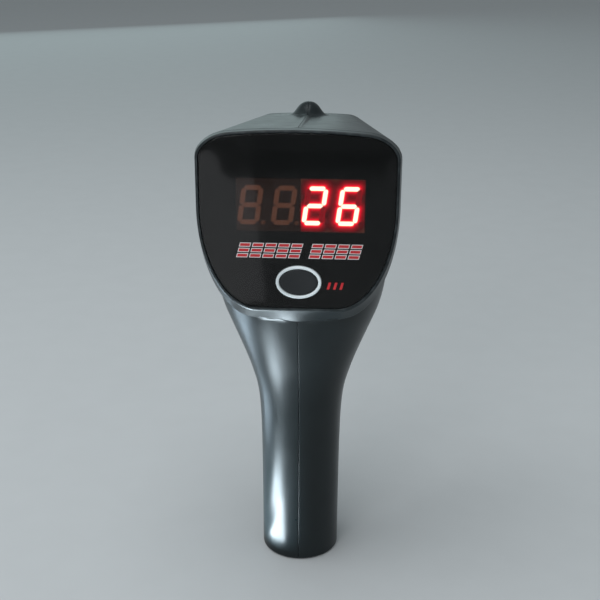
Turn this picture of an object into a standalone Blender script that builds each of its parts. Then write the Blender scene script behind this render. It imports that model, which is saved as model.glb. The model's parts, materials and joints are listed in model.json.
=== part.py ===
"""Hand-held speed radar gun: clamshell housing, display head, radar module, trigger and battery.

Axes: +Z up, +Y along the radar beam, +X to the operator's right. The origin is the centre of the
grip's flat base. Lengths are written in millimetres; MM turns them into Blender's metres.
"""
import math

import bmesh
import bpy
import numpy as np
from mathutils import Matrix, Vector

MM = 0.001
GAP = 0.3            # clearance between neighbouring pieces
WALL = 2.4           # moulded wall thickness

# Housing stations along the beam (Y)
REAR_Y = -46.0       # rear face of the bezel and of the window
SEAM_Y = -38.6       # joint between the bezel and the two shells
SHELL_FRONT_Y = 86.0
TAPER_END_Y = 90.0   # station where the front sizes below apply
FRONT_Y = 94.0
REAR_LIMIT_Y = -60.0
FRONT_LIMIT_Y = 120.0

# Barrel section at SEAM_Y and at TAPER_END_Y
HALF_WIDTH = (51.0, 35.0)
TOP_Z = (256.4, 239.0)
BOTTOM_Z = (157.5, 169.0)
LOW_CORNER = ((29.5, 59.3), (18.0, 34.0))
TOP_CORNER = ((16.0, 11.0), (12.0, 11.0))
CROWN = (3.4, 1.6)
BEZEL_DRAFT = 2.0    # how much the bezel narrows from the seam to its rear face
BEZEL_RISE = 7.4     # how much its underside rises over the same length
BEZEL_TOP_DROP = 0.5

# Grip and neck
GRIP_RADIUS = 21.6
NECK_Z = 105.0       # height where the grip starts to flare
NECK_FLARE = 0.215   # widening per millimetre of height
NECK_MAX_HALF_WIDTH = 46.0
GRIP_TOP_Z = 200.0

# Fillet between barrel and grip, at its rear and front stations
FILLET = (3.0, 14.0)
FILLET_Y = (-30.0, 15.0)

# Crease along the top and the sight bump that ends it: (crease, bump)
RIDGE_START_Y = -38.0
RIDGE_STEP_Y = 57.0
RIDGE_PEAK_Y = 71.0
RIDGE_RADIUS = (2.0, 7.6)
RIDGE_RISE = (0.9, 7.9)
RIDGE_FILLET = (1.5, 5.5)

# Rays for solving surfaces
PIVOT_Y, PIVOT_Z = 46.0, 118.0
SHELL_SEGMENTS = 24
OUTLINE_POINTS = 44
OUTLINE_CENTRE_Z = 205.0

# Display head
KEY_Z = 179.6
KEY_X = 0.9
KEY_RING = (11.5, 8.7)
KEY_RING_LINE = 1.6
KEY_TRAVEL = 0.6
LED_X = 1.6
LED_SIZE = (31.6, 7.3, 26.6)
LED_Z = 218.9
POCKET_INSET = 1.3
POCKET_Y = -43.8
PLATE_FRONT_Y = -41.6
LIP_CLEARANCE = 0.9
LIP_INSET = WALL + LIP_CLEARANCE
LIP_THICKNESS = 1.7
BEZEL_LIP_Y = -34.0
RING_LIP_Y = 80.4
BOARD_REAR_Y = -36.0
BOARD_THICKNESS = 1.6
BOARD_SIZE = (68.0, 74.0)
BOARD_Z = 209.0
BOARD_SCREWS = ((-30.0, 177.0), (30.0, 177.0), (-30.0, 242.0), (30.0, 242.0))

# Radar module
BRACKET_Y = (75.0, 77.5)
RADAR_BOARD_Y = (82.8, 84.4)
RADAR_CENTRE_Z = 207.0
RADAR_SCREWS = ((-23.0, 185.0), (23.0, 185.0), (-23.0, 229.0), (23.0, 229.0))

# Trigger
TRIGGER_PIVOT = (20.5, 145.0)
TRIGGER_BOSS_RADIUS = 4.6
TRIGGER_HALF_WIDTH = 7.0
PIN_RADIUS = 1.5
SWITCH_Z = 135.0

PIN_POST_RADIUS = 3.6
PIN_HALF_LENGTH = 12.2
FINGER_CENTRE = (43.0, 129.0)    # (Y, Z) of the finger curve
FINGER_RADIUS = 15.6

# Battery and base
CELL_RADIUS = 9.2
CELL_X = 9.5
CELL_Z = (24.7, 89.7)
GROOVE_RADIUS = 20.6
GROOVE_Z = (0.9, 2.7)
JACK_Y = -9.5

# Housing screws, at (Y, Z), driven along X from the right
SCREWS = ((13.5, 14.0), (13.5, 95.0), (1.0, 128.0), (60.0, 182.0), (60.0, 226.0), (4.0, 240.0))
POST_RADIUS = 4.0
HEAD_BORE_RADIUS = 2.9
SHANK_BORE_RADIUS = 1.4
SCREW_HEAD_X = 5.3
BOARD_SCREW = ((-7.0, 1.0), (0.0, 1.0), (0.0, 2.5), (1.8, 2.0))   # (distance along it, radius)

# colour (linear RGB), roughness, metallic
SLATE = ((0.020, 0.026, 0.030), 0.42, 0.0)
SMOKED = ((0.006, 0.006, 0.006), 0.06, 0.0)
WHITE = ((0.82, 0.86, 0.87), 0.35, 0.0)
KEY_GREY = ((0.018, 0.020, 0.022), 0.30, 0.0)
LED_FACE = ((0.030, 0.020, 0.018), 0.45, 0.0)
BOARD_GREEN = ((0.020, 0.110, 0.050), 0.50, 0.0)
CHIP_BLACK = ((0.012, 0.012, 0.013), 0.55, 0.0)
STEEL = ((0.55, 0.55, 0.56), 0.28, 1.0)
TIN = ((0.62, 0.61, 0.58), 0.35, 1.0)
RUBBER = ((0.015, 0.015, 0.015), 0.80, 0.0)
CELL_BLUE = ((0.030, 0.090, 0.280), 0.40, 0.0)
NYLON = ((0.55, 0.55, 0.50), 0.55, 0.0)
RED_WIRE = ((0.50, 0.020, 0.020), 0.50, 0.0)
BLACK_WIRE = ((0.014, 0.014, 0.014), 0.50, 0.0)
GREY_WIRE = ((0.28, 0.29, 0.30), 0.50, 0.0)


# ---------------------------------------------------------------- housing surface

def rounded_distance(across, along, half_across, half_along):
    """Approximate distance to an ellipse quadrant; negative inside."""
    ratio = np.hypot(across / half_across, along / half_along)
    slope = np.hypot(across / half_across ** 2, along / half_along ** 2)
    inside = -np.minimum(half_across, half_along)
    return np.where(slope > 1e-9, ratio * (ratio - 1.0) / np.maximum(slope, 1e-9), inside)


def blend(first, second, size):
    """Union of two distances with a fillet."""
    overlap = np.maximum(size - np.abs(first - second), 0.0) / size
    return np.minimum(first, second) - overlap ** 2 * size / 4.0


def soft_ramp(value, start, softness):
    """Zero below start, rising at slope 2 above it."""
    return (value - start) + np.sqrt((value - start) ** 2 + softness ** 2)


def barrel_top(y):
    """Height of the barrel's top on the centre plane."""
    forward = (y - SEAM_Y) / (TAPER_END_Y - SEAM_Y)
    rearward = np.maximum(SEAM_Y - y, 0.0) / (SEAM_Y - REAR_Y)
    return TOP_Z[0] + (TOP_Z[1] - TOP_Z[0]) * forward - BEZEL_TOP_DROP * rearward


def barrel_distance(x, y, z, draft=BEZEL_DRAFT):
    """Tapering barrel: crowned top, upright sides, elliptic lower corners."""
    forward = (y - SEAM_Y) / (TAPER_END_Y - SEAM_Y)
    rearward = np.maximum(SEAM_Y - y, 0.0) / (SEAM_Y - REAR_Y)

    def station(pair):
        return pair[0] + (pair[1] - pair[0]) * forward

    width = station(HALF_WIDTH) - draft * rearward
    bottom = station(BOTTOM_Z) + BEZEL_RISE * rearward
    low_a = station((LOW_CORNER[0][0], LOW_CORNER[1][0]))
    low_b = station((LOW_CORNER[0][1], LOW_CORNER[1][1])) - BEZEL_RISE * rearward
    top_a = station((TOP_CORNER[0][0], TOP_CORNER[1][0]))
    top_b = station((TOP_CORNER[0][1], TOP_CORNER[1][1]))
    crowned_z = z + station(CROWN) * (x / width) ** 2
    low = rounded_distance(np.maximum(np.abs(x) - (width - low_a), 0.0),
                           np.maximum(bottom + low_b - z, 0.0), low_a, low_b)
    high = rounded_distance(np.maximum(np.abs(x) - (width - top_a), 0.0),
                            np.maximum(crowned_z - (barrel_top(y) - top_b), 0.0), top_a, top_b)
    ends = np.maximum(REAR_LIMIT_Y - y, y - FRONT_LIMIT_Y)
    return np.maximum(np.maximum(low, high), ends)


def grip_distance(x, y, z):
    """Round grip that flares into the barrel."""
    flare = GRIP_RADIUS + NECK_FLARE * soft_ramp(z, NECK_Z, 15.0)
    half_width = blend(flare, NECK_MAX_HALF_WIDTH, 6.0)
    rear = GRIP_RADIUS + 0.175 * soft_ramp(z, NECK_Z + 3.0, 14.0)
    front = GRIP_RADIUS + 0.09 * soft_ramp(z, NECK_Z + 10.0, 14.0)
    depth = np.where(y < 0.0, rear, front)
    return np.maximum(rounded_distance(np.abs(x), np.abs(y), half_width, depth), z - GRIP_TOP_Z)


def smooth_step(value, low, high):
    """0 below low, 1 above high, eased in between."""
    share = np.clip((value - low) / (high - low), 0.0, 1.0)
    return share * share * (3.0 - 2.0 * share)


def ridge_distance(x, y, z):
    """Faint crease along the top that ends in a round sight bump."""
    along = np.clip((y - RIDGE_START_Y) / (RIDGE_STEP_Y - RIDGE_START_Y), 0.0, 1.0)
    bump = smooth_step(y, RIDGE_STEP_Y, RIDGE_PEAK_Y)
    rise = RIDGE_RISE[0] * along + (RIDGE_RISE[1] - RIDGE_RISE[0]) * bump
    radius = RIDGE_RADIUS[0] + (RIDGE_RADIUS[1] - RIDGE_RADIUS[0]) * bump
    centre_z = barrel_top(np.minimum(y, RIDGE_PEAK_Y)) + rise - radius
    past_peak = np.maximum(y - RIDGE_PEAK_Y, 0.0)
    return np.sqrt(x ** 2 + (z - centre_z) ** 2 + past_peak ** 2) - radius


def body_distance(x, y, z):
    """Whole housing: barrel, neck, grip and sight bump."""
    fillet = FILLET[0] + (FILLET[1] - FILLET[0]) * smooth_step(y, *FILLET_Y)
    body = blend(barrel_distance(x, y, z, 0.0), grip_distance(x, y, z), fillet)
    bump = smooth_step(y, RIDGE_STEP_Y, RIDGE_PEAK_Y)
    ridge_fillet = RIDGE_FILLET[0] + (RIDGE_FILLET[1] - RIDGE_FILLET[0]) * bump
    return blend(body, ridge_distance(x, y, z), ridge_fillet)


def solve_rays(distance, origins, directions, level):
    """Points along rays where the distance function crosses a level."""
    near = np.zeros(len(origins))
    far = np.full(len(origins), 200.0)
    for _ in range(44):
        middle = (near + far) / 2.0
        points = origins + directions * middle[:, None]
        inside = distance(points[:, 0], points[:, 1], points[:, 2]) < level
        near = np.where(inside, middle, near)
        far = np.where(inside, far, middle)
    return origins + directions * ((near + far) / 2.0)[:, None]


def wall_x(y, z, level=-WALL / 2.0):
    """Half-width of the housing at a point of its side view, by default in mid wall."""
    origin = np.array([[0.0, y, z]])
    return float(solve_rays(body_distance, origin, np.array([[1.0, 0.0, 0.0]]), level)[0, 0])


# ---------------------------------------------------------------- mesh helpers

def material(name, look):
    colour, roughness, metallic = look
    result = bpy.data.materials.new(name)
    result.use_nodes = True
    shader = result.node_tree.nodes["Principled BSDF"]
    shader.inputs["Base Color"].default_value = (*colour, 1.0)
    shader.inputs["Roughness"].default_value = roughness
    shader.inputs["Metallic"].default_value = metallic
    return result


def add_object(name, mesh_builder, look, location=(0.0, 0.0, 0.0), parent=None, smooth=True):
    """Turn a bmesh in millimetres into a named object in metres."""
    bmesh.ops.scale(mesh_builder, vec=(MM, MM, MM), verts=mesh_builder.verts)
    bmesh.ops.recalc_face_normals(mesh_builder, faces=mesh_builder.faces)
    mesh = bpy.data.meshes.new(name)
    mesh_builder.to_mesh(mesh)
    mesh_builder.free()
    if smooth:
        mesh.shade_smooth()
        mesh.set_sharp_from_angle(angle=math.radians(35.0))
    thing = bpy.data.objects.new(name, mesh)
    mesh.materials.append(material(name, look))
    thing.location = Vector(location) * MM
    if parent is not None:
        thing.parent = parent
        thing.location = thing.location - parent.location
    bpy.context.scene.collection.objects.link(thing)
    return thing


def add_axis(name, location):
    """Empty on a joint axis."""
    axis = bpy.data.objects.new(name, None)
    axis.location = Vector(location) * MM
    axis.empty_display_size = 0.01
    bpy.context.scene.collection.objects.link(axis)
    return axis


def join_meshes(target, source):
    """Move a bmesh's faces into another bmesh."""
    copies = {vert: target.verts.new(vert.co) for vert in source.verts}
    for face in source.faces:
        target.faces.new([copies[vert] for vert in face.verts])
    source.free()
    return target


def boolean(thing, tool, operation):
    """Apply one Boolean to an object with a bmesh tool placed in world millimetres."""
    cutter = add_object("cutter", tool, SLATE, smooth=False)
    cutter.hide_render = True
    cutter.display_type = "WIRE"
    step = thing.modifiers.new(operation.lower(), "BOOLEAN")
    step.object = cutter
    step.operation = operation
    step.solver = "EXACT"
    graph = bpy.context.evaluated_depsgraph_get()
    graph.update()
    shaped = bpy.data.meshes.new_from_object(thing.evaluated_get(graph))
    thing.modifiers.clear()
    old = thing.data
    thing.data = shaped
    bpy.data.meshes.remove(old)
    cutter_mesh = cutter.data
    bpy.data.objects.remove(cutter)
    bpy.data.meshes.remove(cutter_mesh)


def box_mesh(low, high, bevel=0.0):
    """Box between two corners, with bevelled edges if asked."""
    builder = bmesh.new()
    size = [b - a for a, b in zip(low, high)]
    centre = [(a + b) / 2.0 for a, b in zip(low, high)]
    placed = Matrix.Translation(centre) @ Matrix.Diagonal((*size, 1.0))
    bmesh.ops.create_cube(builder, size=1.0, matrix=placed)
    if bevel > 0.0:
        bmesh.ops.bevel(builder, geom=builder.edges[:], offset=bevel, segments=1, affect="EDGES")
    return builder


def loft_mesh(rings):
    """Closed solid through rings of equal length, with flat caps."""
    builder = bmesh.new()
    rows = [[builder.verts.new(point) for point in ring] for ring in rings]
    count = len(rings[0])
    for row, following in zip(rows, rows[1:]):
        for index in range(count):
            after = (index + 1) % count
            builder.faces.new((row[index], row[after], following[after], following[index]))
    builder.faces.new(rows[0])
    builder.faces.new(rows[-1])
    return builder


def loop_mesh(rings):
    """Closed ring-shaped solid: the rings join end to end."""
    builder = bmesh.new()
    rows = [[builder.verts.new(point) for point in ring] for ring in rings]
    count = len(rings[0])
    for row, following in zip(rows, rows[1:] + rows[:1]):
        for index in range(count):
            after = (index + 1) % count
            builder.faces.new((row[index], row[after], following[after], following[index]))
    return builder


def ellipse_ring(centre, half_axes, count, axis="Y"):
    """Points of an ellipse across one axis."""
    points = []
    for index in range(count):
        turn = 2.0 * math.pi * index / count
        u = half_axes[0] * math.cos(turn)
        v = half_axes[1] * math.sin(turn)
        offset = {"X": (0.0, u, v), "Y": (u, 0.0, v), "Z": (u, v, 0.0)}[axis]
        points.append([c + o for c, o in zip(centre, offset)])
    return points


def turned_mesh(start, axis, profile, count=16):
    """Solid turned about an axis through start; profile is (distance along axis, radius)."""
    unit = {"X": (1.0, 0.0, 0.0), "Y": (0.0, 1.0, 0.0), "Z": (0.0, 0.0, 1.0)}[axis]
    rings = []
    for along, radius in profile:
        centre = [s + u * along for s, u in zip(start, unit)]
        rings.append(ellipse_ring(centre, (radius, radius), count, axis))
    return loft_mesh(rings)


def outline(y, inset, place_y=None, distance=barrel_distance):
    """Barrel outline at a station, moved inwards, as points at place_y."""
    turn = np.linspace(0.0, 2.0 * math.pi, OUTLINE_POINTS, endpoint=False)
    directions = np.stack([np.cos(turn), np.zeros_like(turn), np.sin(turn)], axis=1)
    origins = np.tile([0.0, y, OUTLINE_CENTRE_Z], (OUTLINE_POINTS, 1))
    points = solve_rays(distance, origins, directions, -inset)
    if place_y is not None:
        points[:, 1] = place_y
    return points.tolist()


# ---------------------------------------------------------------- shells

def section_frames():
    """Section centres and in-plane directions from the grip's base to the barrel's front."""
    frames = []
    for z in (0.0, 40.0, 80.0, 96.0, 108.0):
        frames.append(((0.0, z), (-1.0, 0.0)))
    to_seam = math.degrees(math.atan2(BOTTOM_Z[0] - PIVOT_Z, PIVOT_Y - SEAM_Y))
    to_corner = math.degrees(math.atan2(barrel_top(REAR_LIMIT_Y) - PIVOT_Z, PIVOT_Y - REAR_LIMIT_Y))
    for degrees in (0.0, 8.0, 15.0, 20.5, to_seam, 29.0, 34.0, 41.0, 47.0, to_corner, 61.0, 71.0, 81.0):
        turn = math.radians(degrees)
        toward = np.array([-math.cos(turn), math.sin(turn)])
        steps = np.linspace(1.0, 170.0, 400)
        y = PIVOT_Y + toward[0] * steps
        z = PIVOT_Z + toward[1] * steps
        inside = steps[body_distance(np.zeros_like(y), y, z) < -WALL - 1.0]
        middle = (inside.min() + inside.max()) / 2.0
        frames.append(((PIVOT_Y + toward[0] * middle, PIVOT_Z + toward[1] * middle), tuple(toward)))
    for y in (PIVOT_Y, 62.0, 71.0, 76.0, 80.0, SHELL_FRONT_Y):
        middle_z = (BOTTOM_Z[1] + barrel_top(y)) / 2.0
        frames.append(((y, float(middle_z)), (0.0, 1.0)))
    return frames


def shell_grid(side, level):
    """Rows of points on one half of the housing, one row per section."""
    turn = np.linspace(-math.pi / 2.0, math.pi / 2.0, SHELL_SEGMENTS + 1)
    rows = []
    for (y, z), (toward_y, toward_z) in section_frames():
        directions = np.stack([np.cos(turn) * side, np.sin(turn) * toward_y,
                               np.sin(turn) * toward_z], axis=1)
        origins = np.tile([side * GAP / 2.0, y, z], (len(turn), 1))
        rows.append(solve_rays(body_distance, origins, directions, level))
    return rows


def shell_mesh(side):
    """Half housing with a closed wall, cut flat where the bezel meets it."""
    builder = bmesh.new()
    outer = [[builder.verts.new(p) for p in row] for row in shell_grid(side, 0.0)]
    inner = [[builder.verts.new(p) for p in row] for row in shell_grid(side, -WALL)]
    last = len(outer) - 1
    edge = SHELL_SEGMENTS
    for grid in (outer, inner):
        for row, following in zip(grid, grid[1:]):
            for index in range(edge):
                builder.faces.new((row[index], row[index + 1],
                                   following[index + 1], following[index]))
    for index in range(edge):
        for row in (0, last):
            builder.faces.new((outer[row][index], outer[row][index + 1],
                               inner[row][index + 1], inner[row][index]))
    for row in range(last):
        for column in (0, edge):
            builder.faces.new((outer[row][column], outer[row + 1][column],
                               inner[row + 1][column], inner[row][column]))
    bmesh.ops.recalc_face_normals(builder, faces=builder.faces)
    geometry = builder.verts[:] + builder.edges[:] + builder.faces[:]
    bmesh.ops.bisect_plane(builder, geom=geometry, plane_co=(0.0, SEAM_Y, 0.0),
                           plane_no=(0.0, -1.0, 0.0), clear_outer=True)
    open_edges = [item for item in builder.edges if item.is_boundary]
    bmesh.ops.holes_fill(builder, edges=open_edges, sides=0)
    bmesh.ops.triangulate(builder, faces=[f for f in builder.faces if len(f.verts) > 4])
    return builder


def post_mesh(side, start_x, y, z, radius):
    """Round post along X that ends inside the wall, point by point."""
    near = ellipse_ring((side * start_x, y, z), (radius, radius), 12, "X")
    far = [(side * wall_x(point[1], point[2]), point[1], point[2]) for point in near]
    return loft_mesh([near, far])


def shell_posts(side):
    """Screw posts, trigger pin posts, switch ribs and radar bracket ribs of one shell."""
    posts = bmesh.new()
    for y, z in SCREWS:
        join_meshes(posts, post_mesh(side, GAP / 2.0, y, z, POST_RADIUS))
    join_meshes(posts, post_mesh(side, TRIGGER_HALF_WIDTH + 1.0, *TRIGGER_PIVOT, PIN_POST_RADIUS))
    rib_boxes = [(3.5, (8.0, 12.0), (SWITCH_Z - 3.0, SWITCH_Z + 3.0))]
    for z in (196.0, 222.0):
        for y_low in (BRACKET_Y[0] - 2.6, BRACKET_Y[1] + GAP):
            y_high = y_low + 2.3 if y_low < BRACKET_Y[0] else y_low + 1.8
            rib_boxes.append((wall_x(y_low, z, -WALL - 3.0), (y_low, y_high), (z - 4.0, z + 4.0)))
    for x_low, (y_low, y_high), (z_low, z_high) in rib_boxes:
        x_high = min(wall_x(y, z) for y in (y_low, y_high) for z in (z_low, z_high))
        xs = sorted((side * x_low, side * x_high))
        join_meshes(posts, box_mesh((xs[0], y_low, z_low), (xs[1], y_high, z_high)))
    return posts


def shell_bores(side):
    """Screw and pin bores, the trigger slot and the base plate's groove of one shell."""
    bores = bmesh.new()
    for y, z in SCREWS:
        outside = wall_x(y, z) + 8.0
        if side > 0:
            profile = ((-1.0, SHANK_BORE_RADIUS), (SCREW_HEAD_X - GAP, SHANK_BORE_RADIUS),
                       (SCREW_HEAD_X - GAP, HEAD_BORE_RADIUS), (outside, HEAD_BORE_RADIUS))
        else:
            profile = ((1.0, SHANK_BORE_RADIUS), (-10.0, SHANK_BORE_RADIUS))
        join_meshes(bores, turned_mesh((0.0, y, z), "X", profile, 12))
    pin_bore = PIN_RADIUS + GAP
    join_meshes(bores, turned_mesh((0.0, *TRIGGER_PIVOT), "X",
                                   ((side * 6.0, pin_bore), (side * (PIN_HALF_LENGTH + 0.4), pin_bore)), 12))
    slot = sorted((-side * 1.0, side * (TRIGGER_HALF_WIDTH + 0.6)))
    join_meshes(bores, box_mesh((slot[0], 17.0, 110.5), (slot[1], 60.0, 148.5)))
    join_meshes(bores, turned_mesh((0.0, 0.0, 0.0), "Z", [(z, GROOVE_RADIUS) for z in GROOVE_Z], 32))
    rebate = LIP_INSET - GAP
    join_meshes(bores, loft_mesh([outline(SEAM_Y, rebate, SEAM_Y - 1.0),
                                  outline(BEZEL_LIP_Y + GAP, rebate)]))
    join_meshes(bores, loft_mesh([outline(RING_LIP_Y - GAP, rebate),
                                  outline(SHELL_FRONT_Y, rebate, SHELL_FRONT_Y + 1.0)]))
    return bores


def build_shell(name, side):
    shell = add_object(name, shell_mesh(side), SLATE)
    boolean(shell, shell_posts(side), "UNION")
    boolean(shell, shell_bores(side), "DIFFERENCE")


# ---------------------------------------------------------------- display head

def build_bezel():
    """Frame that closes the shells' rear opening and carries the window and the board."""
    edge = 0.6
    rings = [
        outline(REAR_Y, POCKET_INSET, POCKET_Y),
        outline(REAR_Y, POCKET_INSET),
        outline(REAR_Y, edge, REAR_Y),
        outline(REAR_Y + edge, 0.0),
        outline(SEAM_Y, 0.0, SEAM_Y - GAP, body_distance),
        outline(SEAM_Y, LIP_INSET, SEAM_Y - GAP),
        outline(BEZEL_LIP_Y, LIP_INSET),
        outline(BEZEL_LIP_Y, LIP_INSET + LIP_THICKNESS),
        outline(SEAM_Y, LIP_INSET + LIP_THICKNESS, PLATE_FRONT_Y),
    ]
    bezel = add_object("rear_bezel", loft_mesh(rings), SLATE)
    posts = bmesh.new()
    for x, z in BOARD_SCREWS:
        length = BOARD_REAR_Y - GAP - PLATE_FRONT_Y + 1.0
        join_meshes(posts, turned_mesh((x, PLATE_FRONT_Y - 1.0, z), "Y", ((0.0, 3.0), (length, 3.0)), 12))
    boolean(bezel, posts, "UNION")
    holes = bmesh.new()
    opening_x = LED_SIZE[0] + 2.0 * GAP
    opening_z = LED_SIZE[2] / 2.0 + GAP
    join_meshes(holes, box_mesh((LED_X - opening_x, POCKET_Y - 1.0, LED_Z - opening_z),
                                (LED_X + opening_x, PLATE_FRONT_Y + 1.0, LED_Z + opening_z)))
    key = [KEY_RING[0] - KEY_RING_LINE, KEY_RING[1] - KEY_RING_LINE]
    join_meshes(holes, loft_mesh([ellipse_ring((KEY_X, y, KEY_Z), key, 32)
                                  for y in (POCKET_Y - 1.0, PLATE_FRONT_Y + 1.0)]))
    for x, z in BOARD_SCREWS:
        join_meshes(holes, turned_mesh((x, PLATE_FRONT_Y, z), "Y",
                                       ((0.2, SHANK_BORE_RADIUS), (8.0, SHANK_BORE_RADIUS)), 12))
    boolean(bezel, holes, "DIFFERENCE")


def build_window():
    """Smoked window with an oval hole for the key."""
    inset = POCKET_INSET + GAP
    rings = [outline(REAR_Y, inset + 0.3, REAR_Y), outline(REAR_Y, inset, REAR_Y + 0.3),
             outline(REAR_Y, inset, POCKET_Y - GAP)]
    window = add_object("display_window", loft_mesh(rings), SMOKED)
    hole = [KEY_RING[0] + GAP, KEY_RING[1] + GAP]
    cutter = loft_mesh([ellipse_ring((KEY_X, y, KEY_Z), hole, 32)
                        for y in (REAR_Y - 2.0, POCKET_Y + 1.0)])
    boolean(window, cutter, "DIFFERENCE")


def build_key():
    """White trim ring, oval key cap, the switch behind it and the switch's stem."""
    ring_rear = REAR_Y - 0.5
    ring_front = POCKET_Y - GAP
    inner = (KEY_RING[0] - KEY_RING_LINE, KEY_RING[1] - KEY_RING_LINE)

    def oval(y, grow, base):
        return ellipse_ring((KEY_X, y, KEY_Z), (base[0] + grow, base[1] + grow), 32)

    section = ((ring_front, 0.0, KEY_RING), (ring_rear + 0.4, 0.0, KEY_RING), (ring_rear, -0.5, KEY_RING),
               (ring_rear, 0.4, inner), (ring_rear + 0.3, 0.0, inner), (ring_front, 0.0, inner))
    add_object("button_ring", loop_mesh([oval(*corner) for corner in section]), WHITE)
    axis = add_axis("key_axis", (KEY_X, PLATE_FRONT_Y, KEY_Z))
    cap_rear = REAR_Y - 0.3
    flange_y = PLATE_FRONT_Y + GAP
    cap_size = (inner[0] - GAP, inner[1] - GAP)
    profile = ((cap_rear, -0.5, cap_size), (cap_rear + 0.5, 0.0, cap_size), (flange_y, 0.0, cap_size),
               (flange_y, 1.3, cap_size), (flange_y + 0.8, 1.3, cap_size))
    rings = []
    for y, grow, size in profile:
        ring = ellipse_ring((KEY_X, y, KEY_Z), (size[0] + grow, size[1] + grow), 32)
        rings.append([[p[0] - KEY_X, p[1] - PLATE_FRONT_Y, p[2] - KEY_Z] for p in ring])
    add_object("button_cap", loft_mesh(rings), KEY_GREY, (KEY_X, PLATE_FRONT_Y, KEY_Z), axis)
    stem_y = flange_y + 0.8 + GAP
    stem_length = 2.2
    add_object("key_switch_stem", turned_mesh((0.0, stem_y - PLATE_FRONT_Y, 0.0), "Y",
                                              ((0.0, 1.6), (stem_length, 1.6)), 16),
               RUBBER, (KEY_X, PLATE_FRONT_Y, KEY_Z), axis)
    body_rear = stem_y + 1.4
    switch = add_object("key_switch", box_mesh((KEY_X - 3.2, body_rear, KEY_Z - 3.2),
                                               (KEY_X + 3.2, BOARD_REAR_Y - GAP, KEY_Z + 3.2)), CHIP_BLACK)
    socket_depth = stem_y + stem_length + KEY_TRAVEL + 0.2
    boolean(switch, turned_mesh((KEY_X, 0.0, KEY_Z), "Y",
                                ((body_rear - 1.0, 1.9), (socket_depth, 1.9)), 16), "DIFFERENCE")


def build_display_board():
    """Board with its two LED modules, processor, connectors and screws."""
    front = BOARD_REAR_Y + BOARD_THICKNESS
    half_x, half_z = BOARD_SIZE[0] / 2.0, BOARD_SIZE[1] / 2.0
    board = add_object("display_board", box_mesh((-half_x, BOARD_REAR_Y, BOARD_Z - half_z),
                                                 (half_x, front, BOARD_Z + half_z)), BOARD_GREEN)
    holes = bmesh.new()
    for x, z in BOARD_SCREWS:
        join_meshes(holes, turned_mesh((x, BOARD_REAR_Y - 1.0, z), "Y", ((0.0, 1.5), (4.0, 1.5)), 12))
    boolean(board, holes, "DIFFERENCE")
    for name, side in (("led_module_left", -1.0), ("led_module_right", 1.0)):
        centre_x = LED_X + side * (LED_SIZE[0] + GAP) / 2.0
        rear = BOARD_REAR_Y - GAP - LED_SIZE[1]
        add_object(name, box_mesh((-LED_SIZE[0] / 2.0, rear, -LED_SIZE[2] / 2.0),
                                  (LED_SIZE[0] / 2.0, rear + LED_SIZE[1], LED_SIZE[2] / 2.0), 0.3),
                   LED_FACE, (centre_x, 0.0, LED_Z))
    fitted = (("processor_chip", (-22.0, 210.0), (12.0, 1.6, 12.0), CHIP_BLACK),
              ("battery_connector", (14.0, 178.0), (8.0, 5.0, 6.0), NYLON),
              ("trigger_connector", (-14.0, 178.0), (6.0, 5.0, 6.0), NYLON),
              ("ribbon_connector_rear", (0.0, 199.0), (16.0, 4.0, 5.0), NYLON))
    for name, (x, z), (width, depth, height), look in fitted:
        block = box_mesh((-width / 2.0, 0.0, -height / 2.0), (width / 2.0, depth, height / 2.0), 0.3)
        add_object(name, block, look, (x, front + GAP, z))
    for number, (x, z) in enumerate(BOARD_SCREWS, 1):
        add_object(f"board_screw_{number}", turned_mesh((0.0, 0.0, 0.0), "Y", BOARD_SCREW, 8), STEEL,
                   (x, front + GAP, z))


# ---------------------------------------------------------------- front end

def build_front():
    """Front ring, antenna cover and gasket."""
    shelf_inset, bore_inset = 4.0, 6.4
    shelf_y = FRONT_Y - 4.3
    joint_y = SHELL_FRONT_Y + GAP
    ring = [
        outline(joint_y, 0.0), outline(FRONT_Y - 1.5, 0.0), outline(FRONT_Y, 1.3),
        outline(FRONT_Y, shelf_inset), outline(FRONT_Y, shelf_inset, shelf_y),
        outline(FRONT_Y, bore_inset, shelf_y), outline(joint_y, bore_inset, joint_y),
        outline(joint_y, LIP_INSET + LIP_THICKNESS, joint_y - 1.0),
        outline(RING_LIP_Y, LIP_INSET + LIP_THICKNESS), outline(RING_LIP_Y, LIP_INSET),
        outline(joint_y, LIP_INSET),
    ]
    add_object("front_ring", loop_mesh(ring), SLATE)
    gasket_y = shelf_y + GAP
    gasket_front = gasket_y + 0.6
    gasket = [outline(FRONT_Y, inset, y) for inset, y in
              ((shelf_inset + 0.4, gasket_y), (shelf_inset + 0.4, gasket_front),
               (bore_inset - 0.2, gasket_front), (bore_inset - 0.2, gasket_y))]
    add_object("front_gasket", loop_mesh(gasket), RUBBER)
    cover = [outline(FRONT_Y, shelf_inset + inset, y) for inset, y in
             ((GAP, gasket_front + GAP), (GAP, FRONT_Y - 1.3), (1.5, FRONT_Y - 0.8), (9.0, FRONT_Y - 0.3))]
    add_object("front_cover", loft_mesh(cover), KEY_GREY)


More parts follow.
